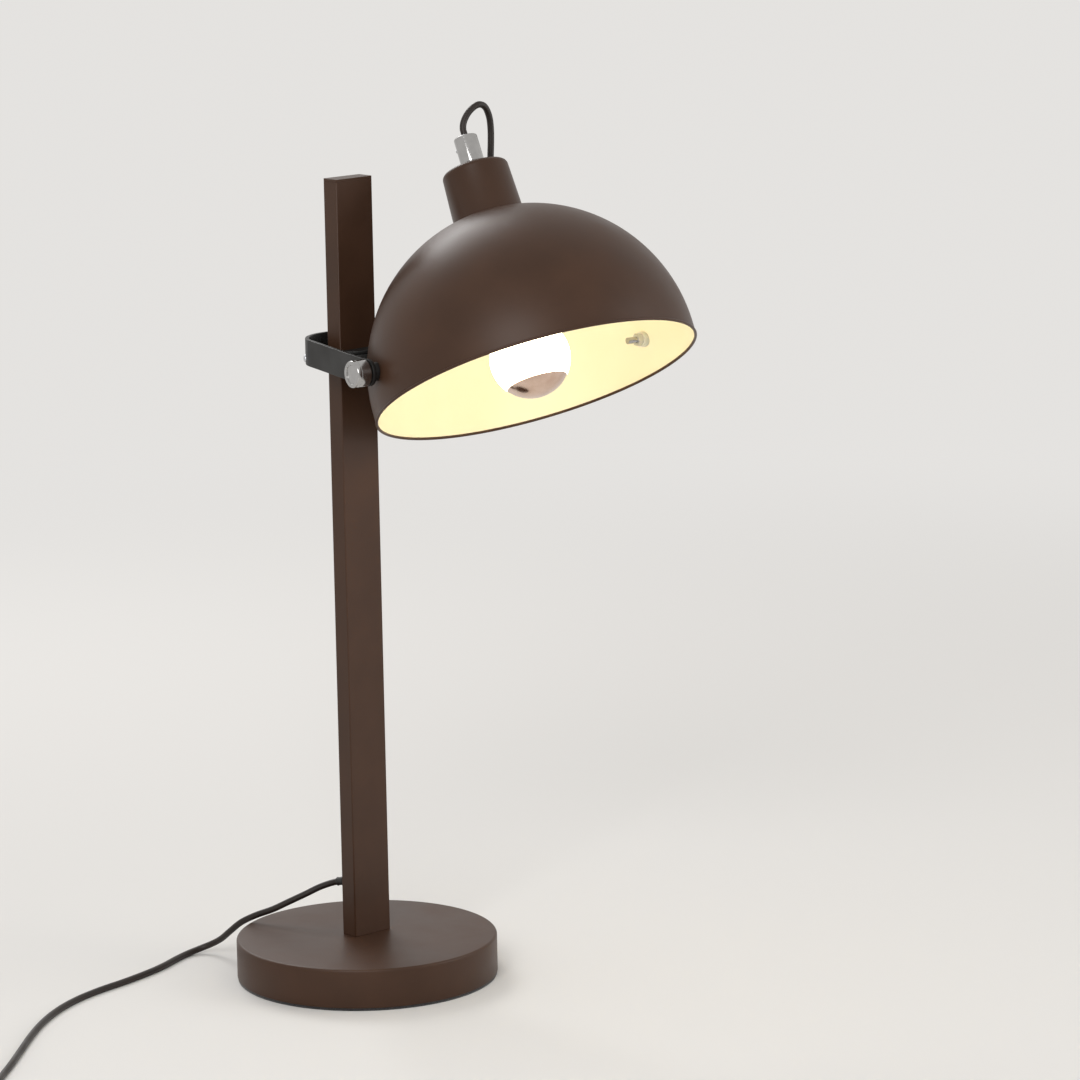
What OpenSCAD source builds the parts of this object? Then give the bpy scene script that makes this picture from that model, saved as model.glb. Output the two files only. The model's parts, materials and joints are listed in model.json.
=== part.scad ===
// Desk lamp: a dome shade in a black strap yoke that slides and turns on a flat
// steel post, on a heavy round base. Millimetres, +Z up. The origin is the middle
// of the base's underside, +X runs along the post's wide face, -Y is the front.

/* [Base] */
// Diameter of the base
base_d = 200; // [180:1:240]
// Height of the base, felt included
base_h = 32; // [28:1:45]
// Wall of the pressed steel cover
cover_t = 1.6; // [1.2:0.1:2.5]
// Rounding of the cover's upper edge
cover_round = 2; // [1.5:0.1:4]
// Thickness of the felt
felt_t = 2; // [1:0.5:4]
// Height of the iron weight
weight_h = 14; // [8:1:18]
// Gap round the weight
weight_gap = 3; // [1:0.5:6]
// Thickness of the closing plate
plate_t = 1.5; // [1:0.5:3]

/* [Post] */
// Width of the post
post_w = 35; // [32:1:45]
// Depth of the post
post_d = 15; // [14:1:20]
// Length of the post
post_h = 581; // [560:1:700]
// Wall of the post
post_t = 1.5; // [1:0.1:2]
// How far the post stands to the right of the base's middle
post_x = 5; // [0:1:15]
// How far the post stands behind the base's middle
post_y = 6; // [0:1:15]
// Height of the foot block in the post
foot_h = 26; // [22:1:30]
// Thread of the two base bolts
base_bolt_d = 5; // [4:0.5:6]
// Spacing of the two base bolts
base_bolt_gap = 18; // [16:1:20]
// Thickness of the lid on the post
lid_t = 2; // [1.5:0.5:4]
// Height of the cord's way out above the base
exit_h = 35; // [34:1:60]
// Width of the slot that the cord rides in
slot_w = 7; // [6:0.5:9]

/* [Slider] */
// Height of the strap's middle above the base
slider_h = 452.5; // [400:0.5:460]
// Diameter of the slider's two collars
slider_d = 43; // [42:0.5:45]
// Depth of the waist between the collars
waist_in = 1.2; // [0.8:0.1:1.4]
// Gap between slider and post on each side
slider_gap = 0.2; // [0.1:0.05:0.4]
// Height of each collar
collar_t = 2.5; // [2:0.5:4]
// Travel upwards from the height shown
travel_up = 105; // [0:1:110]
// Travel downwards from the height shown
travel_down = 200; // [0:1:220]

/* [Yoke] */
// Height of the strap
strap_h = 20; // [18:1:26]
// Thickness of the strap
strap_t = 3; // [2:0.5:4]
// Outer radius of the strap's two corners
corner_r = 35; // [34:0.5:40]
// From the post's axis sideways to the shade's middle
shade_side = 79; // [76:1:90]
// Gap between the shade and the slider's collars
shade_gap = 4.65; // [4.2:0.05:15]
// Turn of the yoke on the post, to the right
yoke_turn = 8; // [0:1:20]
// Height of the turning ring
ring_h = 10; // [9:1:12]
// Outer diameter of the turning ring
ring_d = 49; // [47:0.5:52]
// Width of the ring's open mouth, as an angle
ring_mouth = 70; // [60:1:90]

/* [Hinge] */
// Thread of the two hinge bolts
hinge_bolt_d = 5; // [4:0.5:6]
// Gap between the shade and the strap at the hinge
hinge_gap = 6; // [5:0.5:9]
// Hinge line behind the shade's axis
hinge_back = 20; // [16:1:24]
// Hinge line above the shade's widest circle
hinge_up = 19; // [16:1:24]
// Thickness of the friction washers
washer_t = 0.8; // [0.5:0.1:1.5]
// Diameter of the chrome knob
knob_d = 20; // [16:1:26]
// Length of the chrome knob
knob_len = 12; // [10:1:18]

/* [Shade] */
// Outer radius of the shade
shade_r = 123; // [115:1:130]
// Wall of the spun shade
shade_t = 1; // [0.8:0.1:1.5]
// Straight lip below the widest circle
shade_lip = 8.5; // [5:0.5:14]
// Lean of the shade, backwards
shade_lean = 27.5; // [0:0.5:45]
// Diameter of the rolled bead on the rim
bead_d = 2.2; // [1.8:0.1:3]
// Outer diameter of the neck at its foot
neck_d = 53.5; // [48:0.5:60]
// Outer diameter of the neck at its top
neck_top_d = 50.5; // [44:0.5:54]
// Height of the neck above the shade
neck_h = 41; // [32:0.5:50]
// Wall of the neck
neck_t = 1.2; // [0.8:0.1:2]
// Rounding of the neck's top edge
neck_round = 4; // [2:0.5:6]
// Diameter of the cord grip
grip_d = 18; // [14:0.5:20]
// Height of the cord grip
grip_h = 25; // [18:1:32]

/* [Bulb] */
// Diameter of the bulb
bulb_d = 60; // [50:1:66]
// Length from the bulb's middle to its metal cap
bulb_neck = 49; // [44:1:54]
// Diameter of the bulb's metal cap
cap_d = 26; // [25.5:0.5:26.5]
// Diameter of the mirrored crown's edge
crown_d = 46; // [30:1:48]
// Outer diameter of the lampholder's sleeve
holder_d = 41; // [38:1:46]
// Length of the lampholder
holder_len = 50; // [46:1:52]
// Gap between the lampholder and the nut above it
holder_gap = 1.9; // [1:0.1:6]

/* [Cord] */
// Diameter of the cord
cord_d = 5; // [4.5:0.1:5.5]
// Turns of the coil in each of its two layers
coil_turns = 3; // [2:1:4]
// Outer radius of the coil, to the cord's middle
coil_r = 36; // [34:0.5:44]
// Length of the switch on the cord
switch_len = 58; // [50:1:66]
// Width of the switch
switch_w = 26; // [22:1:30]
// Height of the switch
switch_h = 18; // [16:1:22]

/* [Hidden] */
$fn = 96;
eps = 0.01;
fit = 0.1;
running = 0.05;

brown = [0.16, 0.10, 0.07];
cream = [0.93, 0.90, 0.74];
black = [0.06, 0.06, 0.065];
chrome = [0.80, 0.81, 0.83];
steel = [0.62, 0.63, 0.65];
iron = [0.25, 0.25, 0.26];
brass = [0.78, 0.62, 0.30];
nylon = [0.88, 0.87, 0.82];

slider_z = base_h + slider_h;
post_top = base_h + post_h;
exit_z = base_h + exit_h;
bore_w = post_w + 2 * slider_gap;
bore_d = post_d + 2 * slider_gap;
inner_w = post_w - 2 * post_t;
inner_d = post_d - 2 * post_t;
screw_d = 3;
weight_low = base_h - cover_t - weight_h;
plate_screw_r = base_d / 2 - 22;
plate_screw_len = 7;
relief_d = cord_d + 4;

// The slider and its ring sit low in the strap
slider_low = slider_z - strap_h / 2 - 3;
ring_low = slider_low + collar_t + running;
ring_top = ring_low + ring_h;
waist_r = slider_d / 2 - waist_in;
slider_len = 2 * collar_t + ring_h + 2 * running;
corner_in = corner_r - strap_t;
lug_from = 92;
lug_to = 178;
pad_w = 12;
pad_t = 3;
pad_h = 9;
pad_deep = 6;
pad_low = slider_low + 3;
cord_y = post_d / 2 + 5;

// The strap's legs run from the corners to the hinge pads
shade_behind = hinge_back * cos(shade_lean) + hinge_up * sin(shade_lean);
hinge_reach = sqrt(pow(shade_r + shade_gap + slider_d / 2, 2) - pow(shade_side, 2)) - shade_behind;
leg_end = hinge_reach - 8;
hinge_half = sqrt(pow(shade_r, 2) - pow(hinge_back, 2) - pow(hinge_up, 2));
pad_in = hinge_half + hinge_gap;
pad_out = pad_in + strap_t;
leg_x = shade_side - pad_out;
leg_far = sqrt(pow(leg_x, 2) + pow(leg_end, 2));
seat_x = hinge_half - shade_t - 3.2;
washer_d = 14;
seat_d = 12;
splay = atan2(-leg_x, leg_end) - asin(corner_r / leg_far);

// Places in the shade, measured along its axis from the widest circle
neck_low = sqrt(pow(shade_r, 2) - pow(neck_d / 2, 2));
neck_top = neck_low + neck_h;
bridge_d = neck_d + 6;
bridge_t = 1.5;
bridge_top = sqrt(pow(shade_r - shade_t, 2) - pow(bridge_d / 2, 2)) - 0.05;
tube_d = 10;
nut_h = 4;
// The tube carries the lampholder, and that the bulb
holder_top = bridge_top - bridge_t - running - nut_h - holder_gap;
holder_low = holder_top - holder_len;
cap_low = holder_low - 3;
cap_len = 25;
bulb_up = cap_low - bulb_neck;

// Rounded flat piece, used for the post and what fits it
module flat_bar(w, d, h, r) {
    linear_extrude(h) square_round(w, d, r);
}
module square_round(w, d, r) {
    union() {
        square([w - 2 * r, d], center = true);
        square([w, d - 2 * r], center = true);
        for (x = [-1, 1], y = [-1, 1])
            translate([x * (w / 2 - r), y * (d / 2 - r)]) circle(r, $fn = 32);
    }
}
// Plain round bar along Z
module bar(d, h) {
    cylinder(h = h, d = d);
}
// Round piece along X, from x0 to x1
module bar_x(d, x0, x1) {
    translate([x0, 0, 0]) rotate([0, 90, 0]) cylinder(h = x1 - x0, d = d);
}
module hexagon(across, h) {
    cylinder(h = h, d = across / cos(30), $fn = 6);
}
module at_post(z = 0) {
    translate([post_x, post_y, z]) children();
}
module at_yoke() {
    at_post(slider_z) rotate([0, 0, -yoke_turn]) children();
}
// The hinge line runs along X through this frame's origin
module at_hinge() {
    at_yoke() translate([shade_side, -hinge_reach, 0]) children();
}
// The shade's own frame: Z is its axis, its widest circle is at zero
module at_shade() {
    at_hinge() rotate([-shade_lean, 0, 0]) translate([0, -hinge_back, -hinge_up]) children();
}

// ---- Base ----
module base_cover() {
    color(brown) difference() {
        rotate_extrude() difference() {
            union() {
                square([base_d / 2 - cover_round, base_h]);
                square([base_d / 2, base_h - cover_round]);
                translate([base_d / 2 - cover_round, base_h - cover_round])
                    circle(cover_round, $fn = 48);
            }
            square([base_d / 2 - cover_t, base_h - cover_t]);
            translate([0, -eps]) square([base_d, felt_t + eps]);
        }
        for (x = [-1, 1]) at_post(base_h - cover_t - 1)
            translate([x * base_bolt_gap / 2, 0, 0]) bar(base_bolt_d + 2 * fit, cover_t + 2);
    }
}
module base_weight() {
    color(iron) difference() {
        translate([0, 0, weight_low]) bar(base_d - 2 * cover_t - 2 * weight_gap, weight_h);
        for (x = [-1, 1]) at_post(weight_low - 1)
            translate([x * base_bolt_gap / 2, 0, 0]) bar(base_bolt_d + 2 * fit, weight_h + 2);
        for (a = [30:120:270]) rotate([0, 0, a])
            translate([plate_screw_r, 0, weight_low - eps]) bar(screw_d, plate_screw_len);
    }
}
module base_plate() {
    color(steel) difference() {
        translate([0, 0, felt_t]) bar(base_d - 2 * cover_t - 2 * fit, plate_t);
        for (a = [30:120:270]) rotate([0, 0, a])
            translate([plate_screw_r, 0, felt_t - 1]) bar(screw_d + 2 * fit, plate_t + 2);
    }
}
module base_felt() {
    color(black) difference() {
        bar(base_d - 1, felt_t);
        for (a = [30:120:270]) rotate([0, 0, a])
            translate([plate_screw_r, 0, -1]) bar(8, felt_t + 2);
    }
}
module plate_screws() {
    low = felt_t - 1.4;
    color(steel) for (a = [30:120:270]) rotate([0, 0, a])
        translate([plate_screw_r, 0, 0]) {
            translate([0, 0, low]) bar(6, 1.4);
            translate([0, 0, low + 1.4 - eps])
                bar(screw_d - 2 * running, weight_low + plate_screw_len - 1 - felt_t);
        }
}
module base_bolts() {
    head = 5;
    color(steel) for (x = [-1, 1]) at_post() translate([x * base_bolt_gap / 2, 0, 0]) {
        translate([0, 0, weight_low - head]) hexagon(8, head);
        translate([0, 0, weight_low - eps])
            bar(base_bolt_d - 2 * running, weight_h + cover_t + foot_h - 8);
        translate([0, 0, weight_low - 1]) bar(11, 1);
    }
}

// ---- Post ----
module post_tube() {
    slot_low = slider_z - travel_down - 22;
    slot_top = min(slider_z + travel_up + 6, post_top - 12);
    color(brown) at_post(base_h) difference() {
        flat_bar(post_w, post_d, post_h, 1);
        translate([0, 0, -1]) flat_bar(inner_w, inner_d, post_h + 2, 0.4);
        // slot for the cord in the rear face
        translate([-slot_w / 2, 0, slot_low - base_h])
            cube([slot_w, post_d, slot_top - slot_low]);
        for (z = [slot_low, slot_top])
            translate([0, 0, z - base_h]) rotate([-90, 0, 0]) bar(slot_w, post_d);
        // the cord's way out, and the foot screw's hole
        translate([0, 0, exit_h]) rotate([-90, 0, 0]) bar(relief_d, post_d);
        translate([0, 0, foot_h / 2]) rotate([-90, 0, 0]) bar(4 + 2 * fit, post_d);
    }
}
module post_foot() {
    color(steel) at_post(base_h) difference() {
        flat_bar(inner_w - 2 * fit, inner_d - 2 * fit, foot_h, 0.4);
        for (x = [-1, 1]) translate([x * base_bolt_gap / 2, 0, -1])
            bar(base_bolt_d, foot_h - 5);
        translate([0, inner_d / 2 - 8, foot_h / 2]) rotate([-90, 0, 0]) bar(4, 10);
    }
}
module foot_screw() {
    color(black) at_post(base_h + foot_h / 2) {
        translate([0, post_d / 2, 0]) rotate([-90, 0, 0]) bar(7, 2);
        translate([0, inner_d / 2 - 7, 0]) rotate([-90, 0, 0])
            bar(4 - 2 * running, post_d / 2 - inner_d / 2 + 7 + eps);
    }
}
module post_lid() {
    color(brown) at_post(post_top) {
        flat_bar(post_w, post_d, lid_t, 1);
        translate([0, 0, -10]) flat_bar(inner_w - 2 * fit, inner_d - 2 * fit, 10 + eps, 0.4);
    }
}
module cord_relief() {
    out = 16;
    color(black) at_post(exit_z) translate([0, post_d / 2 - post_t, 0]) rotate([-90, 0, 0])
        difference() {
            union() {
                translate([0, 0, -1.5]) bar(relief_d + 1.5, 1.5 - running);
                translate([0, 0, -4 * running]) bar(relief_d - 2 * running, post_t + 6 * running);
                translate([0, 0, post_t + running]) bar(relief_d + 2, 2);
                translate([0, 0, post_t + 2])
                    cylinder(h = out - 2, d1 = relief_d, d2 = cord_d + 1.6);
            }
            translate([0, 0, -4]) bar(cord_d + 0.1, out + 10);
        }
}

// ---- Slider ----
module slider_sleeve() {
    color(black) at_post() difference() {
        translate([0, 0, slider_low]) difference() {
            bar(slider_d, slider_len);
            // waist for the turning ring
            translate([0, 0, collar_t]) difference() {
                bar(slider_d + 2, ring_h + 2 * running);
                translate([0, 0, -1]) bar(2 * waist_r, ring_h + 3);
            }
        }
        translate([0, 0, slider_low - 1]) flat_bar(bore_w, bore_d, slider_len + 2, 0.8);
        // channel for the cord behind the post
        translate([-cord_d - 1, 0, slider_low - 1])
            cube([2 * cord_d + 2, cord_y + cord_d / 2 + 0.5, slider_len + 2]);
        // pocket for the pad and its spring, in front of the post
        translate([-pad_w / 2 - fit, -bore_d / 2 - pad_deep, pad_low - fit])
            cube([pad_w + 2 * fit, pad_deep + 1, pad_h + 2 * fit]);
    }
}
module slider_pad() {
    color(nylon) at_post() translate([-pad_w / 2, -post_d / 2 - running - pad_t, pad_low])
        cube([pad_w, pad_t, pad_h]);
}
// Bowed leaf that presses the pad on the post
module pad_spring() {
    leaf = 0.4;
    back = -bore_d / 2 - pad_deep + running;
    front = -post_d / 2 - pad_t - 2 * running;
    end = pad_w / 2 - 0.5;
    color(steel) at_post(pad_low + 1) linear_extrude(pad_h - 2) polygon([
        [-end, back], [-end, back + leaf], [-2, front], [2, front], [end, back + leaf],
        [end, back], [1.8, front - leaf], [-1.8, front - leaf]
    ]);
}

// ---- Yoke ----
// The left leg and its hinge pad, seen from above
module strap_leg() {
    tangent = [-cos(splay), sin(splay)];
    polygon([
        [leg_x, -hinge_reach - strap_h], [leg_x, -leg_end], corner_r * tangent, corner_in * tangent,
        [leg_x + strap_t, -leg_end - strap_t * tan(splay / 2)],
        [leg_x + strap_t, -hinge_reach - strap_h]
    ]);
}
// Leg and bent corner on one side, up to the straight back
module strap_side() {
    translate([0, 0, -strap_h / 2]) linear_extrude(strap_h) strap_leg();
    rotate([0, 0, 90]) rotate_extrude(angle = 90 - splay)
        translate([corner_in, -strap_h / 2]) square([strap_t, strap_h]);
}
module yoke_strap() {
    color(black) at_yoke() difference() {
        intersection() {
            union() {
                strap_side();
                translate([2 * shade_side, 0, 0]) mirror([1, 0, 0]) strap_side();
                translate([0, corner_in, -strap_h / 2]) cube([2 * shade_side, strap_t, strap_h]);
            }
            // the hinge pads end round
            union() {
                translate([-2 * shade_side, -hinge_reach, -strap_h])
                    cube([6 * shade_side, 2 * hinge_reach, 2 * strap_h]);
                translate([0, -hinge_reach, 0]) bar_x(strap_h + 0.2, -2 * shade_side, 4 * shade_side);
            }
        }
        translate([0, -hinge_reach, 0]) bar_x(hinge_bolt_d, -2 * shade_side, 4 * shade_side);
        for (a = ring_screws) rotate([0, 0, a]) translate([0, 0, screw_level])
            bar_x(screw_d + 2 * fit, corner_in - 1, corner_r + 1);
        translate([clip_x, corner_in - 1, clip_z - clip_drop]) rotate([-90, 0, 0])
            bar(screw_d, strap_t + 2);
    }
}
ring_screws = [108, 152];
screw_level = ring_low + ring_h / 2 - slider_z;
// Sector round the post's axis between two angles
module sector(r, a0, a1) {
    intersection() {
        circle(r);
        polygon([[0, 0], for (a = [a0, (a0 + a1) / 2, a1]) 3 * r * [cos(a), sin(a)]]);
    }
}
// The ring is open towards the shade and has a lug that fills the strap's corner
module yoke_ring() {
    mouth = -atan2(hinge_reach, shade_side) - 5;
    color(black) at_yoke() difference() {
        translate([0, 0, ring_low - slider_z]) linear_extrude(ring_h) difference() {
            union() {
                circle(ring_d / 2);
                sector(corner_in - fit, lug_from, lug_to);
            }
            circle(waist_r + running);
            sector(ring_d, mouth - ring_mouth / 2, mouth + ring_mouth / 2);
        }
        for (a = ring_screws) rotate([0, 0, a]) translate([0, 0, screw_level])
            bar_x(screw_d, waist_r + 2, corner_r);
    }
}
module yoke_screws() {
    color(steel) at_yoke() for (a = ring_screws) rotate([0, 0, a])
        translate([0, 0, screw_level]) {
            bar_x(screw_d - 2 * running, waist_r + 3, corner_r + eps);
            bar_x(6, corner_r, corner_r + 1.6);
        }
}
// Saddle clip that holds the cord to the strap, with its screw below the cord
clip_x = 41;
clip_z = 5;
clip_drop = 8.5;
clip_t = 1.5;
clip_w = 6;
clip_y = corner_in - cord_d / 2 - 0.2;
module cord_clip() {
    color(black) at_yoke() translate([clip_x, 0, clip_z]) difference() {
        union() {
            translate([0, clip_y, 0]) bar_x(cord_d + 2 * clip_t, -clip_w / 2, clip_w / 2);
            translate([-clip_w / 2, corner_in - clip_t - running, -clip_drop - 3])
                cube([clip_w, clip_t, clip_drop + 3]);
        }
        translate([0, clip_y, 0]) bar_x(cord_d + 0.1, -clip_w, clip_w);
        translate([-clip_w, corner_in - running, -cord_d]) cube([2 * clip_w, cord_d, 2 * cord_d]);
        translate([0, corner_r, -clip_drop]) rotate([90, 0, 0]) bar(screw_d + 2 * fit, corner_r);
    }
}
module clip_screw() {
    color(steel) at_yoke() translate([clip_x, corner_in - clip_t - 2 * running, clip_z - clip_drop])
        rotate([-90, 0, 0]) {
            translate([0, 0, -1.5]) bar(5.5, 1.5);
            translate([0, 0, -1]) bar(screw_d - 2 * running, clip_t + strap_t + 0.5);
        }
}

// ---- Hinge ----
// Both sides of the hinge: the child is drawn for +X and mirrored
module both_sides() {
    for (s = [0, 1]) at_hinge() rotate([-shade_lean, 0, 0]) mirror([s, 0, 0]) children();
}
module shade_ball(r) {
    translate([0, -hinge_back, -hinge_up]) sphere(r, $fn = 240);
}
module hinge_washers() {
    color(nylon) both_sides() difference() {
        bar_x(washer_d, pad_in - washer_t - running, pad_in - running);
        bar_x(hinge_bolt_d + 2 * fit, pad_in - 5, pad_in + 1);
    }
}
module hinge_bosses() {
    color(black) both_sides() difference() {
        bar_x(washer_d, hinge_half - 3, pad_in - washer_t - 2 * running);
        bar_x(hinge_bolt_d + 2 * fit, hinge_half - 5, pad_in + 1);
        shade_ball(shade_r + running);
    }
}
module hinge_seats() {
    color(cream) both_sides() difference() {
        intersection() {
            bar_x(seat_d, seat_x, hinge_half + 3);
            shade_ball(shade_r - shade_t - running);
        }
        bar_x(hinge_bolt_d + 2 * fit, seat_x - 1, hinge_half + 5);
    }
}
module hinge_bolt() {
    knob_in = pad_out + 1 + washer_t;
    color(chrome) at_hinge() rotate([-shade_lean, 0, 0]) {
        bar_x(hinge_bolt_d - 2 * running, -knob_in - knob_len + 3, -seat_x + eps);
        bar_x(9, -seat_x, -seat_x + 3);
    }
}
module hinge_screw() {
    head = 3;
    color(chrome) at_hinge() rotate([-shade_lean, 0, 0]) {
        bar_x(hinge_bolt_d - 2 * running, seat_x - nut_h - 8, pad_out + 1);
        bar_x(12, pad_out + running, pad_out + head);
        translate([pad_out + head - eps, 0, 0]) rotate([0, 90, 0])
            cylinder(h = 1.2, d1 = 12, d2 = 9);
    }
}
module hinge_nut() {
    color(steel) at_hinge() rotate([-shade_lean, 0, 0]) difference() {
        translate([seat_x - nut_h - running, 0, 0]) rotate([0, 90, 0]) hexagon(9, nut_h);
        bar_x(hinge_bolt_d, seat_x - nut_h - 2, seat_x + 1);
    }
}
module tilt_knob() {
    x = -(pad_out + running);
    color(chrome) at_hinge() rotate([-shade_lean, 0, 0]) difference() {
        union() {
            bar_x(knob_d, x - 1 - knob_len + 1, x - 1);
            bar_x(knob_d - 2, x - 1 - knob_len, x - 1 - knob_len + 1 + eps);
            bar_x(knob_d - 6, x - 1 - eps, x);
        }
        // dished face and the threaded hole
        bar_x(knob_d - 7, x - 2 - knob_len, x - knob_len - 0.2);
        bar_x(hinge_bolt_d, x - knob_len + 1, x + 1);
    }
}

// ---- Shade ----
module shade_dome() {
    color(brown) difference() {
        at_shade() rotate_extrude($fn = 160) {
            difference() {
                union() {
                    intersection() {
                        circle(shade_r, $fn = 240);
                        square([shade_r + 1, shade_r + 1]);
                    }
                    translate([0, -shade_lip]) square([shade_r, shade_lip + eps]);
                }
                intersection() {
                    circle(shade_r - shade_t, $fn = 240);
                    translate([0, -eps]) square([shade_r + 1, shade_r + 1]);
                }
                translate([-1, -shade_lip - 1]) square([shade_r - shade_t + 1, shade_lip + 1]);
                translate([-1, 0]) square([neck_d / 2 - 5 + 1, shade_r + 1]);
            }
            translate([shade_r - shade_t / 2, -shade_lip]) circle(d = bead_d, $fn = 32);
        }
        at_hinge() rotate([-shade_lean, 0, 0])
            bar_x(hinge_bolt_d + 2 * fit, -shade_r - 10, shade_r + 10);
    }
}
// The neck's outline, drawn in by inset
module neck_profile(inset) {
    low = neck_low - 3;
    round_r = neck_top_d / 2 - neck_round;
    polygon([
        [0, low], [neck_d / 2 - inset, low], [neck_top_d / 2 - inset, neck_top - neck_round],
        [round_r, neck_top - inset], [0, neck_top - inset]
    ]);
    translate([round_r, neck_top - neck_round]) circle(neck_round - inset, $fn = 48);
}
module shade_neck() {
    color(brown) at_shade() difference() {
        rotate_extrude() difference() {
            neck_profile(0);
            translate([0, -eps]) neck_profile(neck_t);
            translate([-1, neck_low]) square([tube_d / 2 + fit + 1, 2 * neck_h]);
        }
        sphere(shade_r + running, $fn = 240);
    }
}
module shade_bridge() {
    color(steel) at_shade() difference() {
        translate([0, 0, bridge_top - bridge_t]) bar(bridge_d, bridge_t);
        translate([0, 0, bridge_top - bridge_t - 1]) bar(tube_d + 2 * fit, bridge_t + 2);
    }
}
module cord_tube() {
    color(brass) at_shade() difference() {
        translate([0, 0, holder_top - 8]) bar(tube_d - 2 * running, neck_top + 10 - holder_top + 8);
        translate([0, 0, holder_top - 9]) bar(cord_d + 1.2, neck_top + 30 - holder_top);
    }
}
module tube_nuts() {
    color(brass) at_shade() for (z = [bridge_top - bridge_t - running - nut_h, neck_top - neck_t - running - nut_h])
        translate([0, 0, z]) difference() {
            hexagon(14, nut_h);
            translate([0, 0, -1]) bar(tube_d, nut_h + 2);
        }
}
module cord_grip() {
    r = grip_d / 2;
    color(chrome) at_shade() difference() {
        translate([0, 0, neck_top + running]) union() {
            bar(grip_d, grip_h - 1);
            translate([0, 0, grip_h - 1 - eps]) cylinder(h = 1, d1 = grip_d, d2 = grip_d - 2);
        }
        translate([0, 0, neck_top - 1]) bar(tube_d, 12);
        translate([0, 0, neck_top + 5]) bar(cord_d + 0.3, grip_h);
        translate([0, 0, neck_top + grip_h - 8]) rotate([0, -90, -60]) bar(3, r + 2);
    }
}
module grip_screw() {
    color(steel) at_shade() translate([0, 0, neck_top + grip_h - 8]) rotate([0, -90, -60])
        translate([0, 0, cord_d / 2 + 0.3]) bar(3 - 2 * running, grip_d / 2 - cord_d / 2 + 0.6);
}
// Lampholder: cap, threaded sleeve, ceramic core and contacts
module holder_cap() {
    color(black) at_shade() difference() {
        union() {
            translate([0, 0, holder_top - 18]) bar(holder_d - 3, 12);
            translate([0, 0, holder_top - 6 - eps])
                cylinder(h = 6, d1 = holder_d - 3, d2 = tube_d + 8);
        }
        translate([0, 0, holder_top - 19]) bar(holder_d - 8, 13);
        translate([0, 0, holder_top - 8]) bar(tube_d, 10);
    }
}
module holder_sleeve() {
    len = holder_len - 18 - running;
    color(black) at_shade() difference() {
        union() {
            translate([0, 0, holder_low]) bar(holder_d, len);
            translate([0, 0, holder_low + 8]) bar(holder_d + 5, 3);
        }
        translate([0, 0, holder_low - 1]) bar(cap_d + 5, len + 2);
    }
}
module holder_core() {
    low = cap_low + cap_len + 2;
    color(cream) at_shade() translate([0, 0, low]) bar(cap_d + 4, holder_top - 9 - low);
}
module holder_contacts() {
    z = cap_low + cap_len + running;
    color(brass) at_shade() {
        translate([-3, -1, z + 0.1]) cube([6, 2, 1.8]);
        for (s = [-1, 1]) translate([s * (cap_d / 2 + 1.2) - 0.5, -2.5, cap_low + 6])
            cube([1, 5, cap_len - 4.1]);
    }
}

// ---- Bulb ----
bulb_r = bulb_d / 2;
crown_z = bulb_up - sqrt(pow(bulb_r, 2) - pow(crown_d / 2, 2));
module bulb_profile(inset) {
    r = bulb_r - inset;
    cap_r = cap_d / 2 - 0.6 - inset;
    a = 52;
    // the neck is an arc that meets the ball smoothly at this angle above its middle
    n = 14;
    neck = [for (i = [0:n]) let (t = i / n, z0 = r * sin(a), x0 = r * cos(a))
        [x0 + (cap_r - x0) * (1 - pow(1 - t, 2.2)), bulb_up + z0 + (bulb_neck - z0) * t]];
    intersection() {
        translate([0, bulb_up]) circle(r, $fn = 120);
        translate([0, bulb_up - bulb_r]) square([bulb_r + 1, bulb_r + r * sin(a)]);
    }
    polygon(concat([[0, bulb_up + r * sin(a) - 1], [r * cos(a), bulb_up + r * sin(a) - 1]],
        neck, [[0, bulb_up + bulb_neck]]));
}
module bulb_glass() {
    color([0.95, 0.93, 0.88, 0.5]) at_shade() rotate_extrude() difference() {
        bulb_profile(0);
        translate([0, 0.02]) bulb_profile(0.8);
        translate([-1, crown_z - bulb_d]) square([bulb_d, bulb_d]);
    }
}
module bulb_crown() {
    color(chrome) at_shade() rotate_extrude() difference() {
        intersection() {
            translate([0, bulb_up]) circle(bulb_r, $fn = 120);
            translate([0, crown_z - bulb_d]) square([bulb_d, bulb_d - running]);
        }
        translate([0, bulb_up]) circle(bulb_r - 0.8, $fn = 120);
    }
}
module bulb_cap() {
    color(brass) at_shade() difference() {
        union() {
            translate([0, 0, cap_low + running]) bar(cap_d, cap_len - 5);
            for (i = [0:3]) translate([0, 0, cap_low + 3 + 4 * i]) bar(cap_d + 1, 2);
            translate([0, 0, cap_low + cap_len - 5])
                cylinder(h = 3.4, d1 = cap_d - 2, d2 = 12);
            translate([0, 0, cap_low + cap_len - 1.7]) bar(9, 1.7);
        }
        translate([0, 0, cap_low - 1]) bar(cap_d - 1.6, cap_len - 6);
    }
}
module bulb_stem() {
    color([0.8, 0.8, 0.75]) at_shade() {
        translate([0, 0, bulb_up + 6]) bar(5, bulb_neck - 6);
        translate([0, 0, bulb_up + bulb_neck - 2]) bar(20, 2);
        for (s = [-1, 1]) translate([s * 4, 0, bulb_up + 2]) bar(1.2, 12);
        translate([-5, -0.5, bulb_up + 1]) cube([10, 1, 1.2]);
        translate([-4, -0.8, bulb_up + 8]) cube([8, 1.6, 1.2]);
    }
}

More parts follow.
